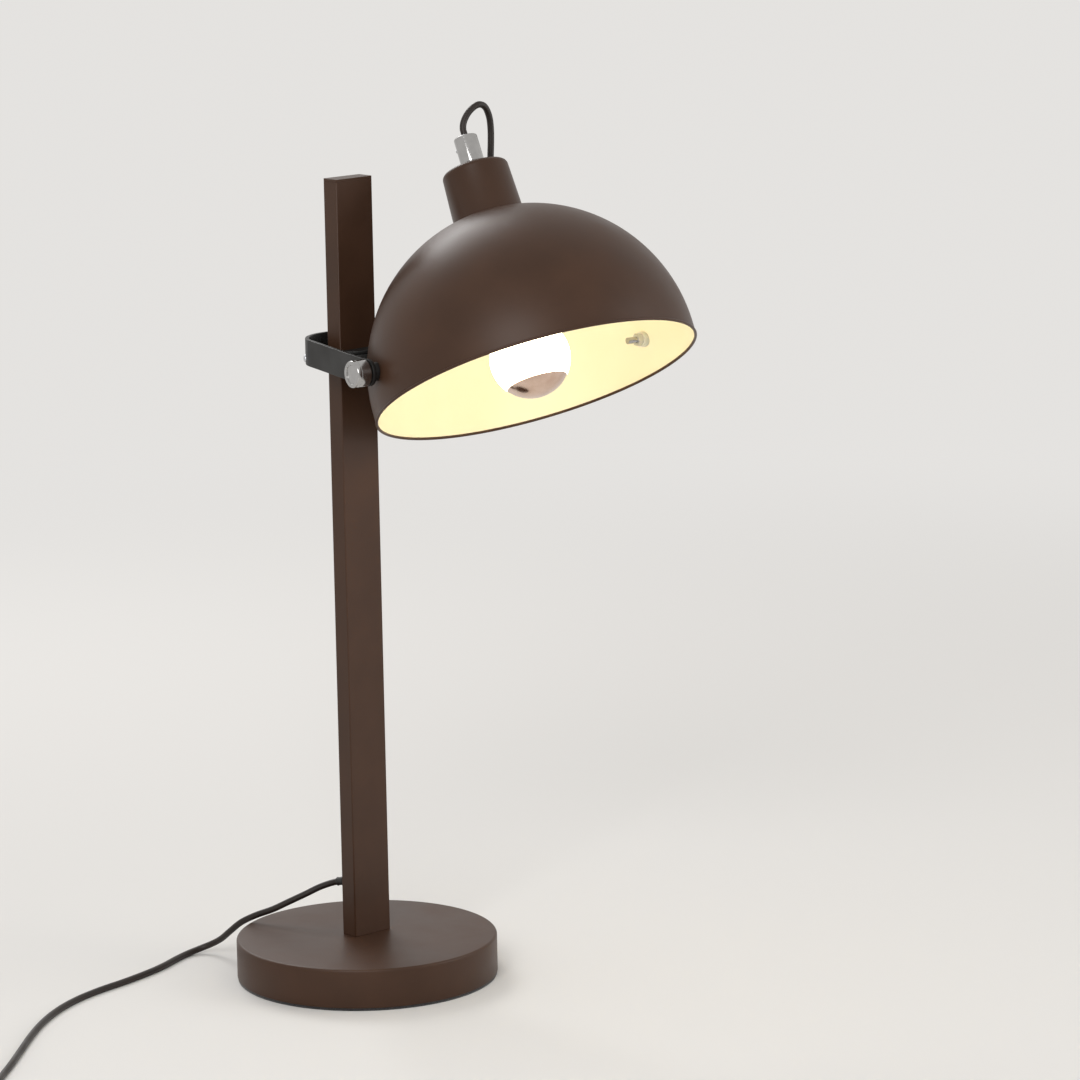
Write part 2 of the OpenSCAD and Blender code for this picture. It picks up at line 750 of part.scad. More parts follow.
// ---- Cords ----
// Smooth curve through the points, with steps rings between each two; it ends straight
function spline(p, steps) = [
    p[0],
    for (i = [1:len(p) - 3], s = [0:steps - 1])
        let (a = p[i - 1], b = p[i], c = p[i + 1], d = p[i + 2], t = s / steps)
        0.5 * (2 * b + (c - a) * t + (2 * a - 5 * b + 4 * c - d) * t * t
            + (3 * b - a - 3 * c + d) * t * t * t),
    p[len(p) - 2],
    p[len(p) - 1]
];
function unit(v) = v / norm(v);
function heading(p) = [for (i = [0:len(p) - 1])
    unit(p[min(i + 1, len(p) - 1)] - p[max(i - 1, 0)])];
function side_of(t, v) = unit(v - (v * t) * t);
function sides(t, i = 0, v = [0.1, 0.2, 1], out = []) =
    i == len(t) ? out : sides(t, i + 1, side_of(t[i], v), concat(out, [side_of(t[i], v)]));
function span(p) = [for (i = 1, s = 0; i <= len(p); s = s + (i < len(p) ? norm(p[i] - p[i - 1]) : 0), i = i + 1) s];
function length_of(p) = span(p)[len(p) - 1];
module tube(p, d, n) {
    t = heading(p);
    u = sides(t);
    r = d / 2;
    rings = [for (i = [0:len(p) - 1], k = [0:n - 1])
        p[i] + r * (cos(360 * k / n) * u[i] + sin(360 * k / n) * cross(t[i], u[i]))];
    skin = [for (i = [0:len(p) - 2], k = [0:n - 1]) let (a = i * n + k, b = i * n + (k + 1) % n)
        each [[a, b + n, b], [a, a + n, b + n]]];
    end = (len(p) - 1) * n;
    caps = [for (k = [1:n - 2]) each [[0, k, k + 1], [end, end + k + 1, end + k]]];
    polyhedron(points = rings, faces = concat(skin, caps));
}
// From the grip over the neck and down the back of the shade, to the strap's clip;
// measured from the post's axis at the strap's middle, in the yoke's frame
loop_route = [
    [79, -40.7, 157.7], [79, -38.1, 162.6], [80.6, -36.5, 168.1], [84.4, -35.9, 173.9],
    [89.6, -35.8, 178.4], [95.3, -35.9, 180.5], [100.8, -35.5, 178], [104.7, -34.9, 170.4],
    [106.1, -34.5, 161], [106, -34.5, 151], [105.6, -34.5, 143], [105, -34.5, 130],
    [104.4, -34, 110], [102, -31.5, 92], [97, -24.5, 75], [89, -15.5, 58], [79.5, -7, 42],
    [70, 1, 27], [62.5, 10, 15.5], [56.5, 19, 8.5], [50.5, 26.3, 5.4], [44.5, 29.3, 5],
    [37.8, 29.3, 5]
];
// From the clip into the channel behind the post
bridge_route = [
    [37.8, 29.3, 5], [33, 29.3, 5], [25, 28, 6], [16.5, 24, 7.2], [9, 18.8, 7.6], [3.5, 15, 6],
    [0.8, 13, 2.5], [0, 12.5, -1], [0, 12.5, -3]
];
// Down the slider's channel, through the slot and down inside the post;
// measured from the post's axis at the strap's middle
inner_route = [
    [0, 12.5, -3], [0, 12.5, -8], [0, 11, -15], [0, 7.5, -22], [0, 3.5, -29], [0, 0.8, -37],
    [0, 0, -46], [0, 0, -130], [0, 0, -220], [0, 0, -310], [0, -3, -398], [0, -2.7, -407],
    [0, -0.8, -413.5], [0, 3, -417.3], [0, 4.5, -417.5], [0, 7.5, -417.5]
];
// From the post to the switch, measured from the middle of the base's underside
mains_route = [
    [5, 13.5, 67], [5, 30, 67], [4, 36, 66.3], [0.5, 43, 64], [-5.5, 50, 60.5], [-13, 57, 55.5],
    [-22, 66, 49.5], [-31, 76, 43], [-38.5, 87, 37.8], [-44.5, 98.5, 31], [-47.5, 109.5, 22],
    [-47.5, 120.5, 14], [-49, 131, 8], [-56, 137.5, 4.2], [-69, 137.5, 2.5], [-86, 131, 2.5],
    [-102, 124, 2.5], [-120, 118, 2.5], [-149, 111, 2.5], [-177, 106, 2.5], [-205, 98, 2.5],
    [-232, 85.5, 2.5], [-259, 68, 2.5], [-286, 46, 2.5], [-312, 22.5, 2.5], [-337, 0, 2.5],
    [-358, -18, 2.5], [-368, -27.5, 3.2], [-377, -33.5, 5.2], [-384, -35, 6], [-390, -35, 6]
];
// From the switch to the coil
switch_route = [
    [-448, -35, 6], [-454, -35, 6], [-465, -31, 4.2], [-475, -21.5, 3.4], [-481.5, -8.5, 3.3],
    [-483.5, 4, 3.3], [-483.5, 15, 3.3]
];
coil_start = [-483.5, 20, 3.3];
// From the coil to the plug
tail_route = [
    [-483.5, 25, 8.9], [-483.5, 33, 8.9], [-484, 46, 7.4], [-484, 58, 4.6], [-481.5, 69, 2.8],
    [-474, 79, 2.9], [-463, 86.5, 5.2], [-450, 90, 7], [-440, 90, 7]
];
coil_step = cord_d + 0.6;
coil_rings = 24;
coil_mid = coil_start + [coil_r, 0, 0];
// The coil winds inwards, climbs in the half turn where it turns back, and winds out again
coil_spiral = [for (i = [0:2 * coil_turns * coil_rings]) let (
        n = i / coil_rings,
        lap = coil_turns - abs(n - coil_turns),
        rise = min(1, max(0, (n - coil_turns + 0.25) * 2)),
        a = 180 - 360 * n)
    coil_mid + [
        (coil_r - coil_step * lap) * cos(a),
        (coil_r - coil_step * lap) * sin(a),
        coil_step * (3 * rise * rise - 2 * rise * rise * rise)
    ]];
// Both ends run straight for one diameter
coil_points = concat([coil_spiral[0] - [0, cord_d, 0]], coil_spiral,
    [coil_spiral[len(coil_spiral) - 1] + [0, cord_d, 0]]);
coil_gap = min([for (i = [0:len(coil_points) - 1], j = [i + 12:1:len(coil_points) - 1])
    norm(coil_points[i] - coil_points[j])]) - cord_d;

module loop_cord() {
    color(black) at_yoke() tube(spline(loop_route, 2), cord_d, 10);
}
module bridge_cord() {
    color(black) at_yoke() tube(spline(bridge_route, 2), cord_d, 10);
}
module inner_cord() {
    color(black) at_post(slider_z) tube(spline(inner_route, 1), cord_d, 10);
}
module mains_cord() {
    color(black) tube(spline(mains_route, 2), cord_d, 8);
}
module switch_cord() {
    color(black) tube(spline(switch_route, 2), cord_d, 8);
}
module coil_cord() {
    color(black) tube(coil_points, cord_d, 6);
}
module tail_cord() {
    color(black) tube(spline(tail_route, 1), cord_d, 8);
}
// A strap round the coil's strands
module coil_tie() {
    mid_r = coil_r - coil_step * coil_turns / 2;
    w = coil_step * coil_turns + cord_d + 1.2;
    h = coil_step + cord_d + 1.2;
    t = 0.7;
    color(black) translate([coil_mid.x, coil_mid.y, coil_mid.z + coil_step / 2])
        rotate([0, 0, 35]) translate([mid_r, 4, 0]) rotate([90, 0, 0]) linear_extrude(8)
        difference() {
            square_round(w + 2 * t, h + 2 * t - 1.8 + 1.2, 2.5);
            square_round(w, h - 0.6, 1.8);
        }
}
// ---- Switch on the cord ----
switch_at = [-419, -35, 0];
rocker_l = 20;
rocker_w = 11;
rocker_z = switch_h - 4.5;
pillar_x = switch_len / 2 - 9.5;
pillar_y = switch_w / 2 - 7;
module switch_box(z0, z1) {
    translate([0, 0, z0]) flat_bar(switch_len, switch_w, z1 - z0, 7);
}
module switch_base() {
    color(black) translate(switch_at) difference() {
        switch_box(0, switch_h / 2 - running);
        translate([0, 0, 2]) flat_bar(switch_len - 10, switch_w - 4, switch_h, 5);
        for (x = [-1, 1]) translate([x * pillar_x, x * pillar_y, 0]) {
            translate([0, 0, -1]) bar(screw_d + 2 * fit, switch_h);
            translate([0, 0, -1]) bar(6, 2.6);
        }
    }
}
module switch_lid() {
    color(black) translate(switch_at) difference() {
        union() {
            switch_box(switch_h / 2, switch_h - 2);
            translate([0, 0, switch_h - 2 - eps]) flat_bar(switch_len - 4, switch_w - 4, 2, 6);
            for (x = [-1, 1]) translate([x * pillar_x, x * pillar_y, 4])
                bar(7, switch_h - 6);
        }
        translate([0, 0, -eps]) difference() {
            flat_bar(switch_len - 10, switch_w - 4, switch_h - 2, 5);
            for (x = [-1, 1]) translate([x * pillar_x, x * pillar_y, 0])
                bar(7, switch_h);
        }
        translate([-rocker_l / 2 - 0.4, -rocker_w / 2 - 0.4, switch_h - 5])
            cube([rocker_l + 0.8, rocker_w + 0.8, 10]);
        for (x = [-1, 1]) translate([x * pillar_x, x * pillar_y, 3])
            bar(screw_d - 2 * running, 8);
    }
}
module switch_rocker() {
    color([0.12, 0.12, 0.13]) translate(switch_at) translate([0, 0, rocker_z]) difference() {
        rotate([0, 8, 0]) translate([0, rocker_w / 2, 0]) rotate([90, 0, 0])
            linear_extrude(rocker_w) polygon([
                [-rocker_l / 2 + 1, 0], [-rocker_l / 2 + 1, 4.4], [0, 3.4],
                [rocker_l / 2 - 1, 4.4], [rocker_l / 2 - 1, 0], [3, -4], [-3, -4]
            ]);
        rotate([90, 0, 0]) translate([0, 0, -20]) bar(2.1, 40);
    }
}
module switch_screws() {
    color(steel) translate(switch_at) {
        for (x = [-1, 1]) translate([x * pillar_x, x * pillar_y, 0]) {
            translate([0, 0, 0.4]) bar(5.4, 1.2);
            translate([0, 0, 1.5]) bar(screw_d - 4 * running, 8);
        }
        // the rocker's pin
        translate([0, rocker_w / 2 + 3, rocker_z]) rotate([90, 0, 0]) bar(2, rocker_w + 6);
    }
}
// ---- Plug ----
plug_at = [-440, 90, 7];
plug_len = 36;
module plug_relief() {
    color(black) translate(plug_at) rotate([0, 90, 0]) cylinder(h = 22, d1 = cord_d + 2, d2 = 10);
}
module plug_body() {
    color(black) translate(plug_at + [22 + running, 0, 0]) difference() {
        hull() {
            rotate([0, 90, 0]) bar(10.5, 2);
            translate([12, -6.5, -6.8]) cube([plug_len - 12, 13, 13.6]);
            translate([12, -12, -4.5]) cube([plug_len - 12, 24, 9]);
        }
        for (s = [-1, 1]) translate([0, s * 8.75, 0]) bar_x(3.6, plug_len - 10, plug_len + 1);
    }
}
module plug_pins() {
    color(brass) translate(plug_at + [22 + running, 0, 0]) for (s = [-1, 1]) translate([0, s * 8.75, 0]) {
        bar_x(3.6 - 2 * running, plug_len - 9.5, plug_len + 1);
        bar_x(4, plug_len, plug_len + 18);
        translate([plug_len + 18 - eps, 0, 0]) rotate([0, 90, 0]) cylinder(h = 1, d1 = 4, d2 = 2.4);
    }
}

echo(coil_gap = coil_gap);
echo(mains_length = length_of(spline(mains_route, 2)) + switch_len + length_of(spline(switch_route, 2))
    + length_of(coil_points) + length_of(spline(tail_route, 2)));
echo(splay = splay, hinge_half = hinge_half);

base_cover();
base_weight();
base_plate();
base_felt();
base_bolts();
plate_screws();
post_tube();
post_foot();
foot_screw();
post_lid();
cord_relief();
slider_sleeve();
slider_pad();
pad_spring();
yoke_strap();
yoke_ring();
yoke_screws();
cord_clip();
clip_screw();
hinge_washers();
hinge_bosses();
hinge_seats();
hinge_bolt();
hinge_screw();
hinge_nut();
tilt_knob();
shade_dome();
shade_neck();
shade_bridge();
cord_tube();
tube_nuts();
cord_grip();
grip_screw();
holder_cap();
holder_sleeve();
holder_core();
holder_contacts();
bulb_glass();
bulb_crown();
bulb_cap();
bulb_stem();
loop_cord();
bridge_cord();
inner_cord();
mains_cord();
switch_cord();
coil_cord();
tail_cord();
coil_tie();
switch_base();
switch_lid();
switch_rocker();
switch_screws();
plug_relief();
plug_body();
plug_pins();
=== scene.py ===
import json
import math

import bmesh
import bpy
from mathutils import Matrix, Vector

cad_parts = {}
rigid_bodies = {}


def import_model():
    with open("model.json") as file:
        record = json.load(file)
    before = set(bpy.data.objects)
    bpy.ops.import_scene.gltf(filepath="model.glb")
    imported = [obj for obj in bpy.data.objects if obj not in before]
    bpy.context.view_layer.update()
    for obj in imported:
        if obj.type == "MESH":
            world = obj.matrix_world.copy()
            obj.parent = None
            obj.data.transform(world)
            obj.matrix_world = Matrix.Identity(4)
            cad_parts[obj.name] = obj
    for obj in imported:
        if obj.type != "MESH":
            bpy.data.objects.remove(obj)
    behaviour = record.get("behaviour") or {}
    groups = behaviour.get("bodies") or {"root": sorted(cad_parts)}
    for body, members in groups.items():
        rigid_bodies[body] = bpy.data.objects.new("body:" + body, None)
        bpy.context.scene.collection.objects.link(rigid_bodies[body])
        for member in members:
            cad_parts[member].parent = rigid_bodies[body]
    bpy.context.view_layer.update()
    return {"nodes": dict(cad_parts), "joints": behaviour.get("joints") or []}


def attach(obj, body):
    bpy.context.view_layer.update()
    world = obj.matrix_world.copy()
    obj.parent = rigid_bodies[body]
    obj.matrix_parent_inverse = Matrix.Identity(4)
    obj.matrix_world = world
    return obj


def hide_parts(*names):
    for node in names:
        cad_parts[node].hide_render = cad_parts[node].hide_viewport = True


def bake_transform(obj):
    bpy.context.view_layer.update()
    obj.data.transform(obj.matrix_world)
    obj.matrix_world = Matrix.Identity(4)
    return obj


for leftover in list(bpy.data.objects):
    bpy.data.objects.remove(leftover)
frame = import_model()
MM = 0.001

# ---- Viewpoint and light ----
# The lamp is seen from its front left and a little above the desk, through a long lens
# that is turned very slightly. Soft boxes and a pale room light it evenly.
camera_place = Vector((-2.2981, -2.7727, 1.0429))
camera_ahead = Vector((0.6548, 0.7309, -0.1923)).normalized()
camera_turn = math.radians(1.04)
camera_lens = 161.7
backdrop = (0.78, 0.765, 0.745, 1.0)
room_light = 0.52
soft_boxes = [
    # name, place, size, watts
    ("key_light", (-1.9, -1.5, 1.7), 1.3, 34.0),
    ("fill_light", (1.6, -1.9, 1.0), 1.6, 16.0),
    ("back_light", (0.6, 1.9, 1.9), 1.2, 22.0),
]


def add_node(tree, kind, links=None, **settings):
    """A node of that kind; links gives each named input a value or another node's socket."""
    node = tree.nodes.new(kind)
    for name, value in settings.items():
        setattr(node, name, value)
    for socket, source in (links or {}).items():
        if isinstance(source, bpy.types.NodeSocket):
            tree.links.new(source, node.inputs[socket])
        else:
            node.inputs[socket].default_value = source
    return node


def place_camera():
    right = camera_ahead.cross(Vector((0, 0, 1))).normalized()
    up = right.cross(camera_ahead)
    cos, sin = math.cos(camera_turn), math.sin(camera_turn)
    axes = Matrix((right * cos - up * sin, right * sin + up * cos, -camera_ahead)).transposed()
    data = bpy.data.cameras.new("camera")
    data.lens = camera_lens
    data.sensor_width = 36.0
    camera = bpy.data.objects.new("camera", data)
    camera.matrix_world = Matrix.Translation(camera_place) @ axes.to_4x4()
    bpy.context.scene.collection.objects.link(camera)
    bpy.context.scene.camera = camera


def place_soft_boxes():
    target = Vector((0.04, -0.05, 0.32))
    for name, place, size, watts in soft_boxes:
        data = bpy.data.lights.new(name, "AREA")
        data.size = size
        data.energy = watts
        light = bpy.data.objects.new(name, data)
        light.location = place
        light.rotation_euler = (target - Vector(place)).to_track_quat("-Z", "Y").to_euler()
        bpy.context.scene.collection.objects.link(light)


def seen_directly(tree):
    """1 where a ray shows the backdrop itself, through glass or in a polished surface."""
    path = add_node(tree, "ShaderNodeLightPath")
    mirrored = add_node(tree, "ShaderNodeMath", {0: path.outputs["Is Camera Ray"],
        1: path.outputs["Is Glossy Ray"]}, operation="MAXIMUM")
    return add_node(tree, "ShaderNodeMath", {0: mirrored.outputs[0],
        1: path.outputs["Is Transmission Ray"]}, operation="MAXIMUM").outputs[0]


def light_the_room():
    world = bpy.data.worlds.new("room")
    world.use_nodes = True
    bpy.context.scene.world = world
    tree = world.node_tree
    tree.nodes.clear()
    lit = add_node(tree, "ShaderNodeBackground", {"Color": (1, 0.985, 0.96, 1), "Strength": room_light})
    seen = add_node(tree, "ShaderNodeBackground", {"Color": backdrop, "Strength": 1.0})
    mix = add_node(tree, "ShaderNodeMixShader", {0: seen_directly(tree), 1: lit.outputs[0],
        2: seen.outputs[0]})
    add_node(tree, "ShaderNodeOutputWorld", {"Surface": mix.outputs[0]})


def lay_floor(radius=4.0, fade_from=0.9, fade_to=2.3):
    """A pale round floor whose edge melts into the backdrop."""
    mesh = bpy.data.meshes.new("floor")
    shape = bmesh.new()
    bmesh.ops.create_circle(shape, cap_ends=True, segments=96, radius=radius)
    shape.to_mesh(mesh)
    shape.free()
    floor = bpy.data.objects.new("floor", mesh)
    bpy.context.scene.collection.objects.link(floor)
    material = bpy.data.materials.new("floor_paper")
    material.use_nodes = True
    tree = material.node_tree
    tree.nodes.clear()
    place = add_node(tree, "ShaderNodeTexCoord").outputs["Object"]
    reach = add_node(tree, "ShaderNodeVectorMath", {0: place}, operation="LENGTH").outputs["Value"]
    fade = add_node(tree, "ShaderNodeMapRange", {"Value": reach, "From Min": fade_from,
        "From Max": fade_to}, interpolation_type="SMOOTHSTEP").outputs["Result"]
    shown = add_node(tree, "ShaderNodeMath", {0: fade, 1: seen_directly(tree)}, operation="MULTIPLY")
    paper = add_node(tree, "ShaderNodeBsdfDiffuse", {"Color": (0.80, 0.785, 0.765, 1)})
    glow = add_node(tree, "ShaderNodeEmission", {"Color": backdrop, "Strength": 1.0})
    mix = add_node(tree, "ShaderNodeMixShader", {0: shown.outputs[0], 1: paper.outputs[0],
        2: glow.outputs[0]})
    add_node(tree, "ShaderNodeOutputMaterial", {"Surface": mix.outputs[0]})
    mesh.materials.append(material)


bpy.context.scene.view_settings.view_transform = "Standard"
place_camera()
place_soft_boxes()
light_the_room()
lay_floor()

# ---- Cord ----
# A round two-core lead with a smooth dark sheath. Its free end leaves the back of the
# post, lies on the desk, passes through a hand switch and is wound in a coil by the plug.
cord_d = 5.0
mains_route = [
    (5, 13.5, 67), (5, 30, 67), (4, 36, 66.3), (0.5, 43, 64), (-5.5, 50, 60.5), (-13, 57, 55.5),
    (-22, 66, 49.5), (-31, 76, 43), (-38.5, 87, 37.8), (-44.5, 98.5, 31), (-47.5, 109.5, 22),
    (-47.5, 120.5, 14), (-49, 131, 8), (-56, 137.5, 4.2), (-69, 137.5, 2.5), (-86, 131, 2.5),
    (-102, 124, 2.5), (-120, 118, 2.5), (-149, 111, 2.5), (-177, 106, 2.5), (-205, 98, 2.5),
    (-232, 85.5, 2.5), (-259, 68, 2.5), (-286, 46, 2.5), (-312, 22.5, 2.5), (-337, 0, 2.5),
    (-358, -18, 2.5), (-368, -27.5, 3.2), (-377, -33.5, 5.2), (-384, -35, 6), (-390, -35, 6),
]
switch_route = [
    (-448, -35, 6), (-454, -35, 6), (-465, -31, 4.2), (-475, -21.5, 3.4), (-481.5, -8.5, 3.3),
    (-483.5, 4, 3.3), (-483.5, 15, 3.3),
]
coil_start = Vector((-483.5, 20, 3.3))
coil_r = 36.0
coil_turns = 3
coil_step = cord_d + 0.6
coil_rings = 72
tail_route = [
    (-483.5, 25, 8.9), (-483.5, 33, 8.9), (-484, 46, 7.4), (-484, 58, 4.6), (-481.5, 69, 2.8),
    (-474, 79, 2.9), (-463, 86.5, 5.2), (-450, 90, 7), (-440, 90, 7),
]


def smooth_line(points, steps=5):
    """The curve through given points, straight at both ends."""
    line = [Vector(points[0])]
    for i in range(1, len(points) - 2):
        a, b, c, d = (Vector(p) for p in points[i - 1:i + 3])
        for s in range(steps):
            t = s / steps
            line.append(0.5 * (2 * b + (c - a) * t + (2 * a - 5 * b + 4 * c - d) * t * t
                + (3 * b - a - 3 * c + d) * t * t * t))
    return line + [Vector(points[-2]), Vector(points[-1])]


def coil_line():
    """Winds inwards, climbs in the half turn where it reverses, and winds out on top."""
    middle = coil_start + Vector((coil_r, 0, 0))
    line = []
    for i in range(2 * coil_turns * coil_rings + 1):
        turn = i / coil_rings
        lap = coil_turns - abs(turn - coil_turns)
        radius = coil_r - coil_step * lap
        angle = math.radians(180 - 360 * turn)
        rise = min(1.0, max(0.0, (turn - coil_turns + 0.25) * 2))
        climb = coil_step * (3 * rise ** 2 - 2 * rise ** 3)
        line.append(middle + Vector((radius * math.cos(angle), radius * math.sin(angle), climb)))
    return line


def new_finish(name, colour, roughness, metallic=0.0, **sockets):
    """A material whose plain numbers sit on the shader's own sockets."""
    material = bpy.data.materials.new(name)
    material.use_nodes = True
    shader = material.node_tree.nodes["Principled BSDF"]
    shader.inputs["Base Color"].default_value = (*colour, 1)
    shader.inputs["Roughness"].default_value = roughness
    shader.inputs["Metallic"].default_value = metallic
    for socket, value in sockets.items():
        shader.inputs[socket.replace("_", " ")].default_value = value
    return material


def noise_on(material, scale, detail=3.0, stretch=(1, 1, 1)):
    tree = material.node_tree
    place = add_node(tree, "ShaderNodeTexCoord").outputs["Object"]
    mapped = add_node(tree, "ShaderNodeMapping", {"Vector": place, "Scale": stretch})
    return add_node(tree, "ShaderNodeTexNoise", {"Vector": mapped.outputs[0], "Scale": scale,
        "Detail": detail}).outputs["Fac"]


def mottle(material, height, dark, light, rough=None):
    """Colour, and roughness too, vary with a noise."""
    tree = material.node_tree
    shader = tree.nodes["Principled BSDF"]
    spread = add_node(tree, "ShaderNodeMapRange", {"Value": height, "From Min": 0.25,
        "From Max": 0.75}, interpolation_type="SMOOTHSTEP").outputs["Result"]
    mix = add_node(tree, "ShaderNodeMix", {"Factor": spread}, data_type="RGBA")
    mix.inputs[6].default_value = (*dark, 1)
    mix.inputs[7].default_value = (*light, 1)
    tree.links.new(mix.outputs[2], shader.inputs["Base Color"])
    if rough:
        gloss = add_node(tree, "ShaderNodeMapRange", {"Value": height, "From Min": 0.3,
            "From Max": 0.7, "To Min": rough[0], "To Max": rough[1]})
        tree.links.new(gloss.outputs["Result"], shader.inputs["Roughness"])


def raise_grain(material, height, depth):
    """A bump as deep as that, in millimetres, and over any bump that is there."""
    tree = material.node_tree
    shader = tree.nodes["Principled BSDF"]
    links = {"Height": height, "Strength": 1.0, "Distance": depth * MM}
    if shader.inputs["Normal"].links:
        links["Normal"] = shader.inputs["Normal"].links[0].from_socket
    bump = add_node(tree, "ShaderNodeBump", links)
    tree.links.new(bump.outputs["Normal"], shader.inputs["Normal"])


def sheath_finish():
    """Smooth dark brown vinyl with faint dull patches from handling."""
    material = new_finish("cord_sheath", (0.017, 0.0115, 0.009), 0.42, Specular_IOR_Level=0.35)
    mottle(material, noise_on(material, 60), (0.014, 0.0095, 0.0075), (0.022, 0.015, 0.012), (0.38, 0.50))
    raise_grain(material, noise_on(material, 1400, 2), 0.008)
    return material


cord_sheath = sheath_finish()


def show(name, mesh):
    piece = bpy.data.objects.new(name, mesh)
    bpy.context.scene.collection.objects.link(piece)
    return piece


def lead_curve(name, route):
    """A round lead of one open spline through those points, given in millimetres."""
    data = bpy.data.curves.new(name, "CURVE")
    data.dimensions = "3D"
    data.bevel_depth = cord_d / 2 * MM
    data.bevel_resolution = 5
    data.use_fill_caps = True
    spline = data.splines.new("POLY")
    spline.points.add(len(route) - 1)
    for point, place in zip(spline.points, route):
        point.co = (*(place * MM), 1)
    data.materials.append(cord_sheath)
    return data


def mains_line():
    line = smooth_line(mains_route) + smooth_line(switch_route)[:-1]
    return line + coil_line() + smooth_line(tail_route)[1:]


mains_lead = show("mains_lead", lead_curve("mains_lead", mains_line()))
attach(mains_lead, "base")
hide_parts("mains_cord", "switch_cord", "coil_cord", "tail_cord")


# ---- Base ----
# A pressed steel cover in satin brown stoving paint, with a rolled upper edge, over a
# rough iron weight. A plated sheet closes it, and black felt is glued below.
base_r = 100.0
base_top = 32.0
base_edge_r = 2.0
cover_t = 1.6
cover_low = 2.0
brown = (0.051, 0.0235, 0.0125)


def brown_finish():
    """Satin stoved paint: a shallow orange peel, faint clouding and fine rub marks."""
    material = new_finish("brown_paint", brown, 0.42, Specular_IOR_Level=0.26)
    clouds = noise_on(material, 22, 4)
    mottle(material, clouds, tuple(c * 0.90 for c in brown), tuple(c * 1.12 for c in brown), (0.37, 0.47))
    raise_grain(material, noise_on(material, 1300, 2), 0.035)
    raise_grain(material, noise_on(material, 140, 3, (1, 1, 9)), 0.012)
    return material


def iron_finish():
    material = new_finish("cast_iron", (0.045, 0.045, 0.048), 0.62, 0.7)
    mottle(material, noise_on(material, 90, 6), (0.03, 0.03, 0.033), (0.07, 0.065, 0.06), (0.5, 0.75))
    raise_grain(material, noise_on(material, 900, 5), 0.25)
    return material


def steel_finish():
    """Zinc plated steel with a fine grain along the rolling direction."""
    material = new_finish("plated_steel", (0.56, 0.57, 0.59), 0.30, 1.0)
    mottle(material, noise_on(material, 45, 4), (0.48, 0.49, 0.51), (0.62, 0.63, 0.65), (0.24, 0.38))
    raise_grain(material, noise_on(material, 900, 3, (1, 14, 1)), 0.01)
    return material


def felt_finish():
    """Pressed wool: matt, with a fibrous pile."""
    material = new_finish("black_felt", (0.018, 0.018, 0.019), 0.95, Sheen_Weight=0.35,
        Sheen_Roughness=0.5)
    mottle(material, noise_on(material, 700, 6), (0.010, 0.010, 0.011), (0.035, 0.034, 0.034))
    raise_grain(material, noise_on(material, 1700, 6), 0.3)
    return material


brown_paint = brown_finish()
cast_iron = iron_finish()
plated_steel = steel_finish()
black_felt = felt_finish()


def turned(name, profile, finish, steps=128, sharp=34):
    """A solid of revolution about Z, from a closed outline of (radius, height) in millimetres."""
    shape = bmesh.new()
    rings = []
    for r, z in profile:
        if r < 1e-6:
            rings.append([shape.verts.new((0, 0, z))] * steps)
        else:
            turn = [2 * math.pi * k / steps for k in range(steps)]
            rings.append([shape.verts.new((r * math.cos(a), r * math.sin(a), z)) for a in turn])
    for low, high in zip(rings, rings[1:] + rings[:1]):
        for k in range(steps):
            corners = [low[k], low[(k + 1) % steps], high[(k + 1) % steps], high[k]]
            loop = [v for i, v in enumerate(corners) if v not in corners[:i]]
            if len(loop) > 2:
                shape.faces.new(loop)
    bmesh.ops.recalc_face_normals(shape, faces=shape.faces)
    mesh = bpy.data.meshes.new(name)
    shape.to_mesh(mesh)
    shape.free()
    mesh.materials.append(finish)
    smooth(mesh, sharp)
    return mesh


def smooth(mesh, sharp=34):
    mesh.shade_smooth()
    mesh.set_sharp_from_angle(angle=math.radians(sharp))


def arc(r, z, radius, first, last, steps=6):
    """Points of an arc about (r, z), by angle in degrees from the outward direction."""
    turn = [math.radians(first + (last - first) * k / steps) for k in range(steps + 1)]
    return [(r + radius * math.cos(a), z + radius * math.sin(a)) for a in turn]


def base_cover_mesh():
    inner = base_r - cover_t
    middle = base_r - cover_t / 2
    profile = [(0, base_top - cover_t), (inner - 1, base_top - cover_t), (inner, base_top - cover_t - 1)]
    profile += arc(middle, cover_low + cover_t / 2, cover_t / 2, 180, 360)
    profile += arc(base_r - base_edge_r, base_top - base_edge_r, base_edge_r, 0, 90, 8)
    profile += [(0.6 * base_r, base_top), (0, base_top)]
    return turned("painted_cover", profile, brown_paint, 192)


def fit_piece(name, mesh, place, body, slot, *nodes):
    """Puts a mesh drawn in millimetres in its place, on its body, for the nodes it stands for."""
    mesh.transform(place @ Matrix.Scale(MM, 4))
    piece = show(name, mesh)
    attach(piece, body)
    if nodes:
        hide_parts(*nodes)
    return piece


def dress(finish, *nodes, edge=0.0, sharp=32):
    """Keeps those nodes' own shape and gives them a finish. Their sharp edges get the small
    rounding, in millimetres, that a press, a lathe or a mould leaves."""
    for node in nodes:
        piece = frame["nodes"][node]
        for slot in piece.material_slots:
            slot.material = finish
        if edge:
            weld = piece.modifiers.new("weld", "WELD")
            weld.merge_threshold = 0.00001
            bevel = piece.modifiers.new("rounding", "BEVEL")
            bevel.width = edge * MM
            bevel.segments = 2
            bevel.limit_method = "ANGLE"
            bevel.angle_limit = math.radians(sharp)
            bevel.harden_normals = True


fit_piece("painted_cover", base_cover_mesh(), Matrix.Identity(4), "base", "brown_paint", "base_cover")
dress(cast_iron, "base_weight", edge=0.8)
dress(plated_steel, "base_plate", "base_bolts", "plate_screws", edge=0.2)
dress(black_felt, "base_felt", edge=0.4)

